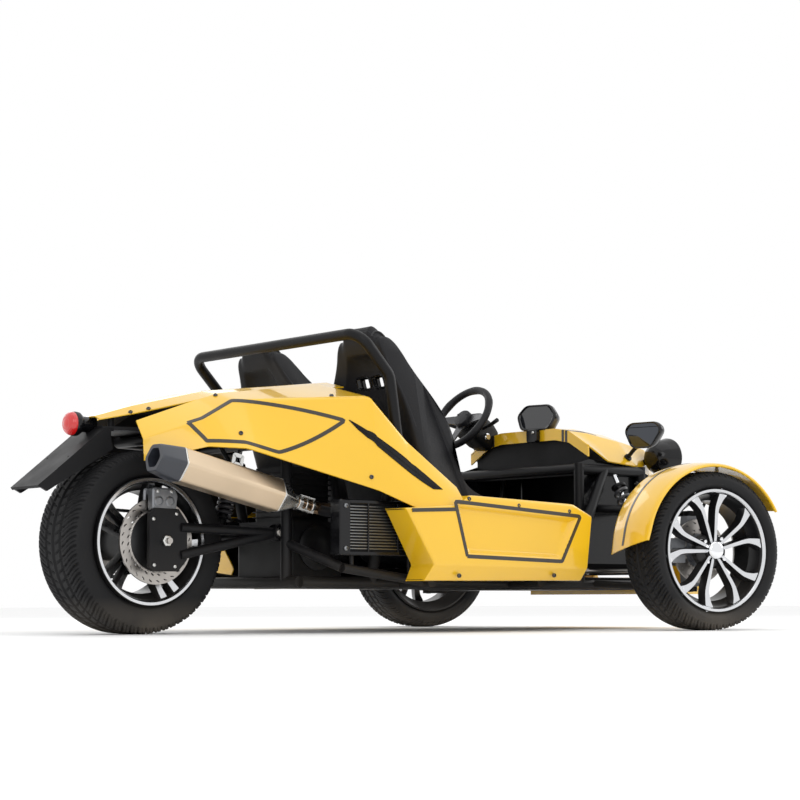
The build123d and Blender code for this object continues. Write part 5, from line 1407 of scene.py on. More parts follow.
def steering_wheel():
    """Steering wheel: a ring whose grip swells in three places, three tapered blades and a screwed boss."""
    axes = axes_of(COLUMN_AXIS, Z_AXIS)
    angle = np.linspace(0, 2 * math.pi, 121)[:-1]
    ring = np.stack([WHEEL_R * np.cos(angle), WHEEL_R * np.sin(angle), 0 * angle], -1)
    section = round_angles(24)
    grip = GRIP_R + 0.0012 * np.cos(3 * angle - math.pi / 2) ** 8
    thick = grip[:, None] * np.ones_like(section)
    out = (thick * np.cos(section))[..., None] * (ring / WHEEL_R)[:, None]
    points = ring[:, None] + out + (thick * np.sin(section))[..., None] * Z_AXIS
    patches = [grid_patch(put(points, WHEEL_HUB, axes), True, True, 0)]
    share = np.linspace(0, 1, 8)[:, None, None]
    half = 0.021 - 0.010 * share
    lean = 0.012 * (1 - share)
    wide, tall = np.array([(-1, -1), (1, -1), (1, 1), (-1, 1)], float).T[:, None, :, None]
    for turn in (0, 180, 270):
        way = bearing_way(turn)
        side = np.array([-way[1], way[0], 0])
        blade = way * (0.030 + 0.098 * share) + side * (half * wide) + Z_AXIS * (lean + 0.003 * tall)
        patches.append(grid_patch(put(blade, WHEEL_HUB, axes), False, True, 1))
    boss = [
        (0.0, 0.030), (0.034, 0.030), (0.038, 0.026), (0.038, 0.0), (0.034, -0.006), (0.020, -0.008),
        (0.0, -0.008),
    ]
    patches.append(lathe(boss, WHEEL_HUB, axes, 40, 0))
    patches.append(lathe([(0.010, 0.028), (0.010, 0.100), (0, 0.100)], WHEEL_HUB, axes, 20, 1))
    for turn in (30, 150, 270):
        spot = 0.029 * bearing_way(turn) - 0.0065 * Z_AXIS
        patches.append(screw_head(put(spot, WHEEL_HUB, axes), -axes[2], 0.004, 1))
    build_piece("steering_rim", patches, [seat_leather(), dark_steel()], "steering_wheel",
                ("steering_wheel",))


def column_shroud():
    """Column: a rounded shroud drawn in at its ends, the shaft below it, two stalks and the key's lock."""
    start = COLUMN_START
    axes = axes_of(COLUMN_AXIS, Z_AXIS)
    shroud = rounded(box_outline(0.104, 0.110), 0.026, 7)
    rings = ((0.008, 0.0), (0.0, 0.010), (0.0, 0.085), (0.010, 0.125), (0.014, 0.130))
    patches = moulded(shroud, rings, start, axes, 0)
    patches.append(rod(start + 0.12 * COLUMN_AXIS, start + 0.25 * COLUMN_AXIS, 0.024, 28, finish=1))
    low = np.array([FRONT_X - 0.0995, 0.205, 0.238])
    patches.append(rod(start + 0.242 * COLUMN_AXIS, low, 0.010, 20, finish=1))
    for side in (-1, 1):
        stalk = start + 0.045 * COLUMN_AXIS + side * 0.045 * Y_AXIS
        knee, tip = stalk + (-0.004, side * 0.055, 0.016), stalk + (-0.010, side * 0.095, 0.030)
        path = bent_path([stalk, knee, tip], 0.3)
        patches.extend(tube(path, np.linspace(0.0055, 0.0085, len(path)), 14, X_AXIS, 0))
    key = start + 0.070 * COLUMN_AXIS - 0.052 * Y_AXIS - 0.020 * axes[1]
    lock = [(0.0, -0.004), (0.014, -0.004), (0.014, 0.012), (0.011, 0.015), (0.0, 0.015)]
    patches.append(lathe(lock, key, axes_of(-Y_AXIS), 24, 2))
    build_piece("column_shroud", patches, [trim_black(), frame_black(), bright_chrome()], CHASSIS,
                ("steering_column",))


def gauge():
    """Gauge: six-sided outlines that shrink towards the front, a recessed glass, a stem and its clamp."""
    axes = plane_axes((1, 0.1, -0.2), Y_AXIS)
    face = rounded(GAUGE_FACE, 0.020, 6)
    rings = [(face * share, height) for share, height in GAUGE_RINGS]
    patches = loft_rings(rings[1:], GAUGE_PLACE, axes, 0, (False, True))
    patches.extend(loft_rings(rings[:2], GAUGE_PLACE, axes, 1, (True, False)))
    foot = np.array([GAUGE_PLACE[0] + 0.034, GAUGE_PLACE[1], 0.760])
    patches.append(rod(foot, GAUGE_PLACE + (0.030, 0, -0.010), 0.011, 20, finish=0))
    clamp = np.array([FRONT_X - 0.121, GAUGE_PLACE[1], 0.742])
    patches.extend(slab(box_outline(0.056, 0.052), 0.012, 0.024, clamp, axes_of(-X_AXIS), 0.003))
    patches.append(screw_head(clamp + (-0.024, -0.012, 0.012), -X_AXIS, 0.006, 2))
    build_piece("gauge_unit", patches, [gloss_black(), dark_glass(), zinc_steel()], CHASSIS,
                ("instrument_pod",))


# Mirrors and lamps

MIRROR_FACE = np.array([(-96, 18), (-70, 50), (70, 52), (98, 22), (60, -48), (-40, -50)])[::-1] / 1000
# Rings of a mirror, from the glass over the rim to the back: share of the face, height
MIRROR_RINGS = (
    (0.88, 0.004), (0.90, 0.001), (0.97, 0.0), (1.0, 0.005), (0.99, 0.018), (0.90, 0.036), (0.72, 0.052),
    (0.50, 0.0595),
)


def mirrors():
    """Two mirrors, each a rounded shell, a recessed glass whose near-black colour is a painted dark reflection,
    and a stem to the cowl.
    """
    face = rounded(MIRROR_FACE, 0.022, 6)
    axes = np.stack([Y_AXIS, Z_AXIS, X_AXIS])
    patches = []
    rings = [(face * share, height) for share, height in MIRROR_RINGS]
    for side in (RIGHT, LEFT):
        place = np.array([FRONT_X + 0.070, side * 0.430, 0.732])
        patches.extend(loft_rings(rings[1:], place, axes, 0, (False, True)))
        patches.extend(loft_rings(rings[:2], place, axes, 1, (True, False)))
        foot = np.array([FRONT_X + 0.110, side * 0.312, 0.652])
        path = bent_path([foot, foot + (-0.004, side * 0.050, 0.040), place + (0.030, 0, -0.022)], 0.3)
        patches.extend(tube(path, 0.008, 16, X_AXIS, 2))
        low, high = foot + (0, -side * 0.006, -0.004), foot + (0, side * 0.010, 0.006)
        patches.append(rod(low, high, 0.015, 24, finish=2))
    build_piece("mirror_pair", patches, [gloss_black(), painted_dark_reflection_glass(), frame_black()], CHASSIS,
                ("mirrors",))


# Headlamp profiles of (radius, height): shell, bowl, bulb, and the outside and inside of the lens
LAMP_SHELL = (
    (0, -0.095), (0.026, -0.0945), (0.044, -0.087), (0.060, -0.066), (0.070, -0.040), (0.0755, -0.014),
    (0.078, -0.008), (0.078, -0.001), (0.075, 0.0), (0.0722, -0.002),
)
LAMP_BOWL = ((0.0722, -0.002), (0.062, -0.022), (0.044, -0.044), (0.020, -0.057), (0, -0.060))
LAMP_BULB = ((0, -0.012), (0.010, -0.014), (0.012, -0.030), (0.008, -0.055), (0, -0.058))
LENS_OUTSIDE = ((0.0718, -0.003), (0.0718, 0.001), (0.066, 0.008), (0.050, 0.0145), (0.028, 0.0185),
                (0, 0.020))
LENS_INSIDE = ((0.0718, -0.003), (0.064, 0.0045), (0.048, 0.0110), (0.027, 0.0148), (0, 0.0163))


def headlamps():
    """Round headlamps: turned shells with bowls and bulbs, their stays, and clear lenses."""
    axes = axes_of(X_AXIS)
    shells, glass = [], []
    for side in (RIGHT, LEFT):
        place = np.array([FRONT_X + 0.355, side * 0.300, 0.664])
        shells.append(lathe(LAMP_SHELL, place, axes, 64, 0))
        shells.append(lathe(LAMP_BOWL, place, axes, 64, 1))
        shells.append(lathe(LAMP_BULB, place, axes, 20, 2))
        stay = place + (-0.055, 0, -0.014)
        shells.append(rod(stay - side * 0.030 * Y_AXIS, stay - side * 0.072 * Y_AXIS, 0.012, 20, finish=3))
        glass.append(lathe(LENS_OUTSIDE, place, axes, 64, 0))
        glass.append(lathe(LENS_INSIDE, place, axes, 64, 0))
    build_piece("headlamp_shells", shells, [gloss_black(), bright_chrome(), clear_lens(), frame_black()],
                CHASSIS, ("headlight_housings",))
    build_piece("headlamp_glass", glass, [clear_lens()], CHASSIS, ("headlight_lenses",))


def tail_light():
    """Tail lamp: a turned cup and a domed lens whose height carries fine rings."""
    axes = axes_of(-X_AXIS)
    place = np.array([REAR_X - 0.205, 0.0, 0.680])
    lip = 0.0385
    cup = [
        (0, -0.040), (0.024, -0.040), (0.026, -0.036), (0.026, -0.002), (0.032, 0.002), (lip, 0.010),
        (0.0400, 0.014), (0.0400, 0.028), (lip, 0.030),
    ]
    h = np.linspace(0, 1, 40)
    lens_r = lip * np.sqrt(np.clip(1 - h**2.4, 0, 1))
    lens_z = 0.030 + 0.0265 * h + 0.0006 * np.sin(46 * h)
    patches = [lathe(cup, place, axes, 56, 0), lathe(np.c_[lens_r, lens_z], place, axes, 56, 1)]
    build_piece("tail_light", patches, [gloss_black(), red_lens()], CHASSIS, ("tail_lamp",))


# Rear end

def rear_caliper():
    """The rear brake caliper: two cheeks either side of the disc, a bridge over it, pistons and screws."""
    hub = (REAR_X, REAR_AXLE[2])
    grip = np.array([(-40, 98), (52, 98), (60, 150), (44, 172), (-40, 172)]) / 1000 + hub
    outline = rounded(grip, 0.012, 5)
    axes = np.stack([X_AXIS, Z_AXIS, -Y_AXIS])
    patches = []
    for start, thick in ((-0.1180, 0.0130), (-0.1490, 0.0330)):
        rings = ((0.004, 0), (0, 0.004), (0, thick - 0.005), (0.005, thick))
        patches.extend(moulded(outline, rings, (0, start, 0), axes, 0))
    bridge = np.array([(-30, 149), (46, 149), (40, 170), (-30, 170)]) / 1000 + hub
    patches.extend(moulded(rounded(bridge, 0.005, 4), ((0, 0), (0, 0.030)), (0, -0.125, 0), axes, 0))
    piston = [(0.017, -0.004), (0.017, 0.0015), (0.012, 0.003), (0.011, 0.001), (0, 0.001)]
    for x in (-0.018, 0.026):
        patches.append(lathe(piston, (REAR_X + x, -0.182, hub[1] + 0.128), axes_of(-Y_AXIS), 28, 0))
        patches.append(screw_head((REAR_X + 1.2 * x, -0.181, hub[1] + 0.160), -Y_AXIS, 0.006, 1))
    build_piece("rear_brake_caliper", patches, [cast_alloy(), zinc_steel()], CHASSIS,
                ("rear_caliper",))


CHAIN_Y = 0.1455
CHAIN_PITCHES = 98
# Links: rounding of a plate's ends, half of its thickness, and the places of narrow and wide plates
LINK_R, LINK_HALF = 0.0062, 0.0006
LINK_NARROW, LINK_WIDE = 0.0050, 0.0064
PIN_HALF, PIN_R = 0.0068, 0.0040
REAR_SPROCKET_R = 0.1135
FRONT_SPROCKET_R = 0.047
FRONT_SPROCKET = np.array([REAR_X + 0.520, 0.345])


def chain_course(count):
    """Even places along the chain's loop, and the next ones: two arcs and the two straight runs between."""
    rear = np.array([REAR_X, REAR_AXLE[2]])
    way = FRONT_SPROCKET - rear
    run = np.linalg.norm(way)
    lean = math.atan2(way[1], way[0])
    tilt = math.acos((REAR_SPROCKET_R - FRONT_SPROCKET_R) / run)
    back = np.linspace(lean + tilt, lean + 2 * math.pi - tilt, 80)
    fore = np.linspace(lean - tilt, lean + tilt, 40)
    loop = np.concatenate([
        rear + polar(REAR_SPROCKET_R, back), FRONT_SPROCKET + polar(FRONT_SPROCKET_R, fore),
    ])
    loop = np.concatenate([loop, loop[:1]])
    length = np.concatenate([[0], np.cumsum(np.linalg.norm(np.diff(loop, axis=0), axis=1))])
    spots = np.linspace(0, length[-1], count, endpoint=False)
    places = np.stack([np.interp(spots, length, loop[:, k]) for k in (0, 1)], -1)
    return places, np.roll(places, -1, 0)


def chain():
    """The drive chain: rollers at every pitch, with narrow and wide pairs of waisted plates in turn."""
    here, there = chain_course(CHAIN_PITCHES)
    patches = []
    angle = round_angles(20)
    for index, (a, b) in enumerate(zip(here, there)):
        middle, half = (a + b) / 2, np.linalg.norm(b - a) / 2
        way = (b - a) / (2 * half)
        square = np.array([-way[1], way[0]])
        end = np.where(np.cos(angle) > 0, half, -half)
        waist = LINK_R * np.sin(angle) * (1 - 0.25 * np.exp(-((np.cos(angle) / 0.35) ** 2)))
        flat = middle + way * (end + LINK_R * np.cos(angle))[:, None] + square * waist[:, None]
        for side in (-1, 1):
            y = CHAIN_Y + side * (LINK_NARROW if index % 2 else LINK_WIDE)
            planes = (y - LINK_HALF, y + LINK_HALF)
            rings = [np.stack([flat[:, 0], 0 * angle + plane, flat[:, 1]], -1) for plane in planes]
            patches.extend(capped(np.stack(rings)))
        ends = [(a[0], CHAIN_Y + half_pin, a[1]) for half_pin in (-PIN_HALF, PIN_HALF)]
        patches.append(rod(*ends, PIN_R, 10, 0.0004))
    build_piece("roller_chain", patches, [dark_steel()], CHASSIS, ("drive_chain",))


# Screws of a swingarm's end plate, from the axle
PLATE_SCREWS = ((-0.048, 0.070), (0.040, 0.088), (0.070, 0.045), (0.070, -0.045), (0.036, -0.082),
                (-0.044, -0.078))
# Nose grille: heights up the nose, and the half widths there
GRILLE_UP, GRILLE_HALF = (0.070, 0.185, 0.300), (0.152, 0.177, 0.132)


def axle_hardware():
    """The axle's nuts, the screws of the end plates and the swingarm pivot's washers with domed nuts."""
    nut = ((0.001, 0), (0, 0.001), (0, 0.013), (0.0015, 0.014))
    washer = [(0.020, 0), (0.020, 0.003), (0.012, 0.004), (0.012, 0.012), (0, 0.013)]
    patches = []
    for side in (RIGHT, LEFT):
        plate = np.array([REAR_X, side * 0.197, REAR_AXLE[2]])
        out = side * Y_AXIS
        patches.extend(moulded(polar(0.0185, round_angles(6)), nut, plate, axes_of(out), 0))
        for x, z in PLATE_SCREWS:
            patches.append(screw_head(plate + (x, 0, z), out, 0.0065, 0))
        patches.append(lathe(washer, (REAR_X + 0.441, side * 0.232, 0.335), axes_of(out), 24, 0))
    build_piece("axle_hardware", patches, [zinc_steel()], CHASSIS)


def engine_fins():
    """Cooling fins round the engine's block and a turned cover on each side of it."""
    fins = []
    outline = box_outline(0.206, 0.216)
    for z in np.linspace(0.395, 0.545, 9):
        fins.extend(slab(outline, 0.030, 0.004, (REAR_X + 0.650, -0.020, z), np.eye(3), 0.001))
    cover = [(0.078, -0.006), (0.078, 0.004), (0.070, 0.010), (0.030, 0.012), (0.026, 0.010), (0, 0.010)]
    for y, side in ((-0.175, RIGHT), (0.135, LEFT)):
        fins.append(lathe(cover, (REAR_X + 0.640, y, 0.290), axes_of(side * Y_AXIS), 48))
    build_piece("engine_fins", fins, [engine_black()], CHASSIS)


def grille_bars():
    """Round bars across the nose's opening, each as wide as the opening is at its height."""
    bars = []
    lean = unit(np.array([-0.16, 0, 1.0]))
    foot = np.array([FRONT_X + 0.460 - 0.022, 0, 0.131]) - 0.013 * unit(np.array([1.0, 0, 0.16]))
    for up in np.linspace(0.085, 0.285, 9):
        half = np.interp(up, GRILLE_UP, GRILLE_HALF)
        middle = foot + up * lean
        bars.extend(tube([middle - half * Y_AXIS, middle + half * Y_AXIS], 0.004, 10, Z_AXIS))
    build_piece("nose_grille_bars", bars, [trim_black()], CHASSIS)


def footwell_board():
    """A flat board that closes the front of the footwell."""
    place = (FRONT_X + 0.1425, 0, 0.400)
    board = slab(box_outline(0.606, 0.390), 0.012, 0.003, place, axes_of(X_AXIS), 0.001)
    build_piece("footwell_board", board, [trim_black()], CHASSIS)


# Trim on the skins

# Lines and screws on the skins are placed in net coordinates: row and column
QUARTER_LINE = ((0.76, 0.93), (1.96, 0.985), (2.79, 1.28), (2.24, 1.90), (1.00, 1.80), (0.76, 0.93))
VENT_UPPER = (
    (2.823, 1.271), (2.884, 1.320), (2.952, 1.375), (3.081, 1.405), (3.331, 1.382), (3.585, 1.358),
    (3.838, 1.337), (4.071, 1.337), (4.257, 1.385), (4.435, 1.460), (4.575, 1.545),
)
VENT_LOWER = (
    (2.823, 1.277), (2.881, 1.371), (2.949, 1.452), (3.059, 1.508), (3.299, 1.510), (3.538, 1.513),
    (3.778, 1.514), (4.017, 1.513), (4.139, 1.547), (4.257, 1.581), (4.371, 1.615),
)
QUARTER_SCREWS = ((1.93, 1.69), (2.95, 1.88), (2.74, 0.90), (1.84, 0.12))
COWL_LINES = (((0.0, 1.18), (1.35, 1.22)), ((0.0, 1.42), (1.35, 1.44)))
TAIL_SCREWS = ((1.13, 0.12), (0.80, 0.14), (2.2, 0.12), (1.13, 2.88), (0.80, 2.86), (2.2, 2.88))


def on_skin(net, spots, reach):
    """Points and normals of a creased skin at net coordinates; the normal is from two short steps."""
    spots = np.asarray(spots, float)

    def at(u, v):
        wide = soft_blend(np.arange(net.shape[0]), u, reach)
        tall = soft_blend(np.arange(net.shape[1]), v, reach)
        return np.einsum("pi,pj,ijk->pk", wide, tall, net)

    u, v = spots.T
    step = 0.02
    square = np.cross(at(u + step, v) - at(u - step, v), at(u, v + step) - at(u, v - step))
    return at(u, v), unit(square)


def line_on_skin(net, corners, reach, facing):
    """Points and normals every few millimetres along straight runs between net coordinates."""
    knots = np.arange(len(corners))
    places = np.linspace(0, knots[-1], 40 * knots[-1] + 1)
    spots = soft_blend(knots, places, 0.02) @ np.array(corners)
    points, square = on_skin(net, spots, reach)
    return points, square * np.sign(square @ np.asarray(facing, float))[:, None]


def pod_face(line):
    """Points on the pod's face for (station, height): the face leans in from its crease to its top."""
    line = np.asarray(line, float)
    lean = np.clip((line[:, 1] - 0.222) / 0.225, 0, 1)
    return np.stack([REAR_X + line[:, 0], -(POD_OUT - 0.010 * lean), line[:, 1]], -1)


# Lines: width and half height of the tape; the vent's bars: radius, first and every how many of its points
LINE_WIDTH, NARROW_LINE, LINE_HEIGHT = 0.014, 0.013, 0.0010
VENT_BAR_R, VENT_BAR_FROM, VENT_BAR_EVERY = 0.0011, 280, 8
TRIM_SCREW_R = 0.0075
# How far a crease of a skin's net is rounded, and the way that the right side faces
SIDE_REACH, TAIL_REACH = 0.05, 0.1
SIDE_FACING = (0.0, -1.0, 0.6)
# On the pod's face as (station, height): the line behind the pocket and the screws
POD_TAIL_LINE = ((0.690, 0.404), (0.884, 0.412))
POD_SCREWS = ((0.9485, 0.449), (1.180, 0.433), (1.428, 0.420), (0.893, 0.190), (1.342, 0.194))


def screws_on_skin(net, spots, reach, facing):
    """Screw heads on a creased skin at net coordinates."""
    points, square = on_skin(net, spots, reach)
    square *= np.sign(square @ np.array(facing))[:, None]
    return [screw_head(point, normal, TRIM_SCREW_R) for point, normal in zip(points, square)]


def side_lines():
    """The line round the quarter panel, and on the pod the line round its pocket and the one behind it."""
    points, square = line_on_skin(side_net(), QUARTER_LINE, SIDE_REACH, SIDE_FACING)
    lines = tape(points, square, LINE_WIDTH, LINE_HEIGHT)
    rim = inset(POCKET[::-1], -0.007)
    rim = np.concatenate([rim, rim[:1]])
    path = pod_face(soft_blend(np.arange(5), np.linspace(0, 4, 161), 0.02) @ rim)
    tail = pod_face(np.linspace(*POD_TAIL_LINE, 20))
    for course, width in ((path, LINE_WIDTH), (tail, NARROW_LINE)):
        square = np.tile(unit(np.array([0, -1.0, 0.045])), (len(course), 1))
        lines.extend(tape(course, square, width, LINE_HEIGHT))
    return lines


def side_vent():
    """The quarter panel's vent: a thin near-black sheet of painted shade between two lines on the skin, standing
    for the shaded inside of the opening, with bars along and across it.
    """
    upper, square = line_on_skin(side_net(), VENT_UPPER, SIDE_REACH, SIDE_FACING)
    lower = line_on_skin(side_net(), VENT_LOWER, SIDE_REACH, SIDE_FACING)[0]
    share = np.linspace(0, 1, 5)[:, None, None]
    slot = upper + share * (lower - upper) + 0.0012 * square
    # Painted shade: this sheet is near-black where the vent's opening would show its shaded inside
    vent = shell(slot, 0.003, SIDE_FACING)
    for row in (0, 2, 4):
        vent.extend(tube(slot[row], VENT_BAR_R, 6, finish=1))
    for column in range(VENT_BAR_FROM, len(upper), VENT_BAR_EVERY):
        vent.extend(tube(slot[[0, -1], column], VENT_BAR_R, 6, finish=1))
    return vent


def trim():
    """Dark lines, vents and screws on the painted skins."""
    lines, vent = side_lines(), side_vent()
    screws = screws_on_skin(side_net(), QUARTER_SCREWS, SIDE_REACH, SIDE_FACING)
    pod_screws = pod_face(POD_SCREWS) * (1, 0.995, 1)
    screws.extend(screw_head(point, -Y_AXIS, TRIM_SCREW_R) for point in pod_screws)
    for side, word in SIDES:
        build_piece(f"panel_lines_{word}", mirrored(lines, side), [stripe_black(), trim_black()], CHASSIS)
        build_piece(f"panel_vent_{word}", mirrored(vent, side), [painted_shade_black(), trim_black()], CHASSIS)
        build_piece(f"panel_screws_{word}", mirrored(screws, side), [dark_steel()], CHASSIS)
    stripes = []
    for corners in COWL_LINES:
        points, square = line_on_skin(cowl_net(), corners, SIDE_REACH, Z_AXIS)
        stripes.extend(tape(points, square, NARROW_LINE, LINE_HEIGHT))
        lip = points[0] - np.linspace(0.0005, LIP_DROP, 12)[:, None] * Z_AXIS
        stripes.extend(tape(lip, np.tile(-X_AXIS, (12, 1)), NARROW_LINE, LINE_HEIGHT))
    build_piece("cowl_lines", stripes + mirrored(stripes, LEFT), [stripe_black()], CHASSIS)
    tail_screws = screws_on_skin(tail_net(), TAIL_SCREWS, TAIL_REACH, Z_AXIS)
    build_piece("tail_screws", tail_screws, [dark_steel()], CHASSIS)


# Stage

CAMERA_PLACE = (-4.7036, -5.6521, 0.103)
CAMERA_YAW = 0.7114
CAMERA_PITCH = 0.0992
CAMERA_ROLL = 0.0018
CAMERA_LENS = 91.26
CAMERA_SENSOR = 36.0
FLOOR_SIZE, FLOOR_Z = 60.0, -0.0005
# Lights: name, place, aim, size, power
LIGHTS = (
    ("sky_panel", (0.5, -1.0, 5.0), (0.0, 0.0, 0.5), 5.0, 45.0),
    ("right_panel", (-3.0, -5.0, 3.0), (0.0, 0.0, 0.4), 3.0, 45.0),
    ("front_panel", (5.0, -2.0, 2.5), (0.4, 0.0, 0.4), 2.5, 50.0),
    ("left_panel", (1.0, 5.0, 3.0), (0.0, 0.0, 0.4), 3.0, 40.0),
)


def stage():
    """A pale floor, a soft sky, area lights and the camera at the photograph's place."""
    scene = bpy.context.scene
    scene.view_settings.view_transform = "Standard"
    world = bpy.data.worlds.new("Studio")
    scene.world = world
    world.use_nodes = True
    back = world.node_tree.nodes["Background"]
    back.inputs["Color"].default_value = (1.0, 1.0, 1.0, 1.0)
    back.inputs["Strength"].default_value = 1.0
    corners = box_outline(FLOOR_SIZE, FLOOR_SIZE)
    mesh = bpy.data.meshes.new("floor")
    mesh.from_pydata([(x, y, FLOOR_Z) for x, y in corners], [], [(0, 1, 2, 3)])
    floor = bpy.data.objects.new("floor", mesh)
    pale = finish("Pale floor", (0.94, 0.94, 0.94), 0.75, 0.0, (0.6, 0.02), (40.0, 0.02, 0.001))
    mesh.materials.append(pale)
    scene.collection.objects.link(floor)
    for name, place, aim, size, power in LIGHTS:
        lamp = bpy.data.lights.new(name, "AREA")
        lamp.energy = power
        lamp.size = size
        light = bpy.data.objects.new(name, lamp)
        axes = axes_of(np.subtract(place, aim), Y_AXIS)
        matrix = np.eye(4)
        matrix[:3, :3] = axes.T
        matrix[:3, 3] = place
        light.matrix_world = Matrix(matrix.tolist())
        scene.collection.objects.link(light)
    camera = bpy.data.objects.new("photo_camera", bpy.data.cameras.new("photo_camera"))
    camera.data.lens = CAMERA_LENS
    camera.data.sensor_width = CAMERA_SENSOR
    camera.rotation_mode = "XYZ"
    camera.location = CAMERA_PLACE
    camera.rotation_euler = (math.pi / 2 + CAMERA_PITCH, CAMERA_ROLL, -CAMERA_YAW)
    scene.collection.objects.link(camera)
    scene.camera = camera


def paint_solids():
    """Give every solid its finish, by its node or by its material slot."""
    by_slot = {
        "yellow_body": body_yellow, "frame_black": frame_black, "black_plastic": trim_black,
        "seat_leather": trim_black, "tyre_rubber": tyre_rubber, "rim_alloy": machined_alloy,
        "brake_steel": brake_steel, "cast_alloy": cast_alloy, "muffler_skin": cast_alloy,
        "pipe_steel": cast_alloy, "clear_lens": bright_chrome, "red_lens": gloss_black,
        "chain_steel": dark_steel,
    }
    by_node = {"engine": engine_black, "footwell_panels": gloss_black}
    for part in frame["record"]["subparts"]:
        node = frame["nodes"][part["node"]]
        node.data.materials.clear()
        node.data.materials.append(by_node.get(part["node"], by_slot[part["material_slot"]])())


def built(*builders):
    """Run the builders of a step in turn, and say that it is done."""
    for build in builders:
        build()
    return {"FINISHED"}


class RoadsterColours(bpy.types.PropertyGroup):
    """Colours that a user may change."""

    body: bpy.props.FloatVectorProperty(
        name="Body", description="Paint of the body panels", subtype="COLOR", size=3,
        default=(0.87, 0.51, 0.006), min=0, max=1,
    )
    frame: bpy.props.FloatVectorProperty(
        name="Frame", description="Coat of the frame tubes", subtype="COLOR", size=3,
        default=(0.006, 0.006, 0.007), min=0, max=1,
    )
    stripe: bpy.props.FloatVectorProperty(
        name="Stripe", description="Dark lines on the panels", subtype="COLOR", size=3,
        default=(0.030, 0.024, 0.016), min=0, max=1,
    )


class RoadsterSizes(bpy.types.PropertyGroup):
    """Sizes of details that a user may change."""

    tread_depth: bpy.props.FloatProperty(
        name="Tread depth", description="Depth of the tread's grooves",
        unit="LENGTH", default=0.0055, min=0.001, max=0.009,
    )


class ROADSTER_OT_paint_solids(bpy.types.Operator):
    """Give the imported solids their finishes."""

    bl_idname = "roadster.paint_solids"
    bl_label = "Paint solids"

    def execute(self, context):
        return built(paint_solids)


class ROADSTER_OT_tyres(bpy.types.Operator):
    """Build the three treaded tyres."""

    bl_idname = "roadster.tyres"
    bl_label = "Tyres"

    def execute(self, context):
        return built(tyres)


class ROADSTER_OT_rims(bpy.types.Operator):
    """Build the three spoked rims."""

    bl_idname = "roadster.rims"
    bl_label = "Rims"

    def execute(self, context):
        return built(rims)


class ROADSTER_OT_discs(bpy.types.Operator):
    """Build the drilled brake discs."""

    bl_idname = "roadster.discs"
    bl_label = "Brake discs"

    def execute(self, context):
        return built(discs)


class ROADSTER_OT_fenders(bpy.types.Operator):
    """Build the front mudguards and their stays."""

    bl_idname = "roadster.fenders"
    bl_label = "Mudguards"

    def execute(self, context):
        return built(fenders)


class ROADSTER_OT_body_skins(bpy.types.Operator):
    """Build the painted body skins."""

    bl_idname = "roadster.body_skins"
    bl_label = "Body skins"

    def execute(self, context):
        return built(body_skins)


class ROADSTER_OT_seats(bpy.types.Operator):
    """Build the bucket seats with their seams and slots."""

    bl_idname = "roadster.seats"
    bl_label = "Seats"

    def execute(self, context):
        return built(seats)


class ROADSTER_OT_exhaust(bpy.types.Operator):
    """Build the muffler, its end cap and the pipe."""

    bl_idname = "roadster.exhaust"
    bl_label = "Exhaust"

    def execute(self, context):
        return built(exhaust)


class ROADSTER_OT_radiator(bpy.types.Operator):
    """Build the radiator."""

    bl_idname = "roadster.radiator"
    bl_label = "Radiator"

    def execute(self, context):
        return built(radiator)


class ROADSTER_OT_springs(bpy.types.Operator):
    """Build the spring units."""

    bl_idname = "roadster.springs"
    bl_label = "Springs"

    def execute(self, context):
        return built(springs)


class ROADSTER_OT_cockpit(bpy.types.Operator):
    """Build the steering wheel, the column shroud and the gauge."""

    bl_idname = "roadster.cockpit"
    bl_label = "Cockpit"

    def execute(self, context):
        return built(steering_wheel, column_shroud, gauge)


class ROADSTER_OT_mirrors(bpy.types.Operator):
    """Build the two mirrors."""

    bl_idname = "roadster.mirrors"
    bl_label = "Mirrors"

    def execute(self, context):
        return built(mirrors)


class ROADSTER_OT_lamps(bpy.types.Operator):
    """Build the headlamps and the tail lamp."""

    bl_idname = "roadster.lamps"
    bl_label = "Lamps"

    def execute(self, context):
        return built(headlamps, tail_light)


class ROADSTER_OT_rear_caliper(bpy.types.Operator):
    """Build the rear brake caliper."""

    bl_idname = "roadster.rear_caliper"
    bl_label = "Rear caliper"

    def execute(self, context):
        return built(rear_caliper)


class ROADSTER_OT_chain(bpy.types.Operator):
    """Build the drive chain."""

    bl_idname = "roadster.chain"
    bl_label = "Drive chain"

    def execute(self, context):
        return built(chain)


class ROADSTER_OT_fittings(bpy.types.Operator):
    """Build the hardware, the engine fins, the grille bars and the footwell's board."""

    bl_idname = "roadster.fittings"
    bl_label = "Fittings"

    def execute(self, context):
        return built(axle_hardware, engine_fins, grille_bars, footwell_board)


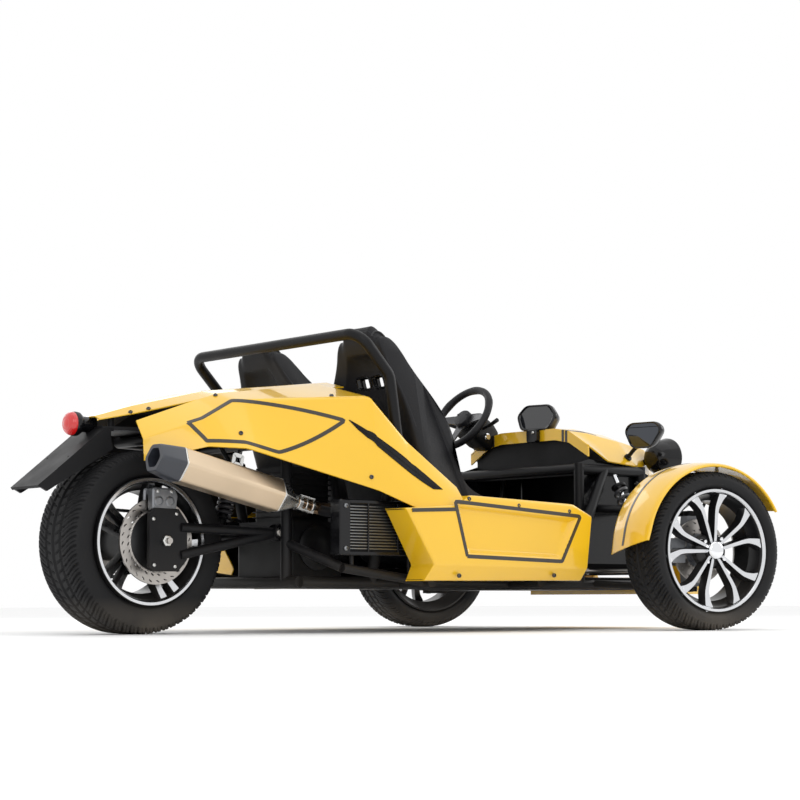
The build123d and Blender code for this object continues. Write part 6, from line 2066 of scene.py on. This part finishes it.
class ROADSTER_OT_trim(bpy.types.Operator):
    """Build the lines, vents and screws on the skins."""

    bl_idname = "roadster.trim"
    bl_label = "Trim"

    def execute(self, context):
        return built(trim)


class ROADSTER_OT_stage(bpy.types.Operator):
    """Build the floor, the lights and the camera."""

    bl_idname = "roadster.stage"
    bl_label = "Stage"

    def execute(self, context):
        return built(stage)


STEPS = (
    ROADSTER_OT_paint_solids, ROADSTER_OT_tyres, ROADSTER_OT_rims, ROADSTER_OT_discs, ROADSTER_OT_fenders,
    ROADSTER_OT_body_skins, ROADSTER_OT_seats, ROADSTER_OT_exhaust, ROADSTER_OT_radiator,
    ROADSTER_OT_springs, ROADSTER_OT_cockpit, ROADSTER_OT_mirrors, ROADSTER_OT_lamps,
    ROADSTER_OT_rear_caliper, ROADSTER_OT_chain, ROADSTER_OT_fittings, ROADSTER_OT_trim,
    ROADSTER_OT_stage,
)


class ROADSTER_PT_panel(bpy.types.Panel):
    """Lists the roadster's colours, sizes and build steps."""

    bl_idname = "ROADSTER_PT_panel"
    bl_label = "Roadster"
    bl_space_type = "VIEW_3D"
    bl_region_type = "UI"
    bl_category = "Roadster"

    def draw(self, context):
        for group in (context.scene.roadster_colours, context.scene.roadster_sizes):
            for name in group.bl_rna.properties.keys():
                if name not in ("rna_type", "name"):
                    self.layout.prop(group, name)
        for step in STEPS:
            self.layout.operator(step.bl_idname)


CLASSES = (RoadsterColours, RoadsterSizes) + STEPS + (ROADSTER_PT_panel,)


def register():
    for kind in CLASSES:
        bpy.utils.register_class(kind)
    bpy.types.Scene.roadster_colours = bpy.props.PointerProperty(type=RoadsterColours)
    bpy.types.Scene.roadster_sizes = bpy.props.PointerProperty(type=RoadsterSizes)


def unregister():
    del bpy.types.Scene.roadster_sizes
    del bpy.types.Scene.roadster_colours
    for kind in reversed(CLASSES):
        bpy.utils.unregister_class(kind)


def main():
    """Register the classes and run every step."""
    register()
    for step in STEPS:
        group, name = step.bl_idname.split(".")
        getattr(getattr(bpy.ops, group), name)()


if __name__ == "__main__":
    main()
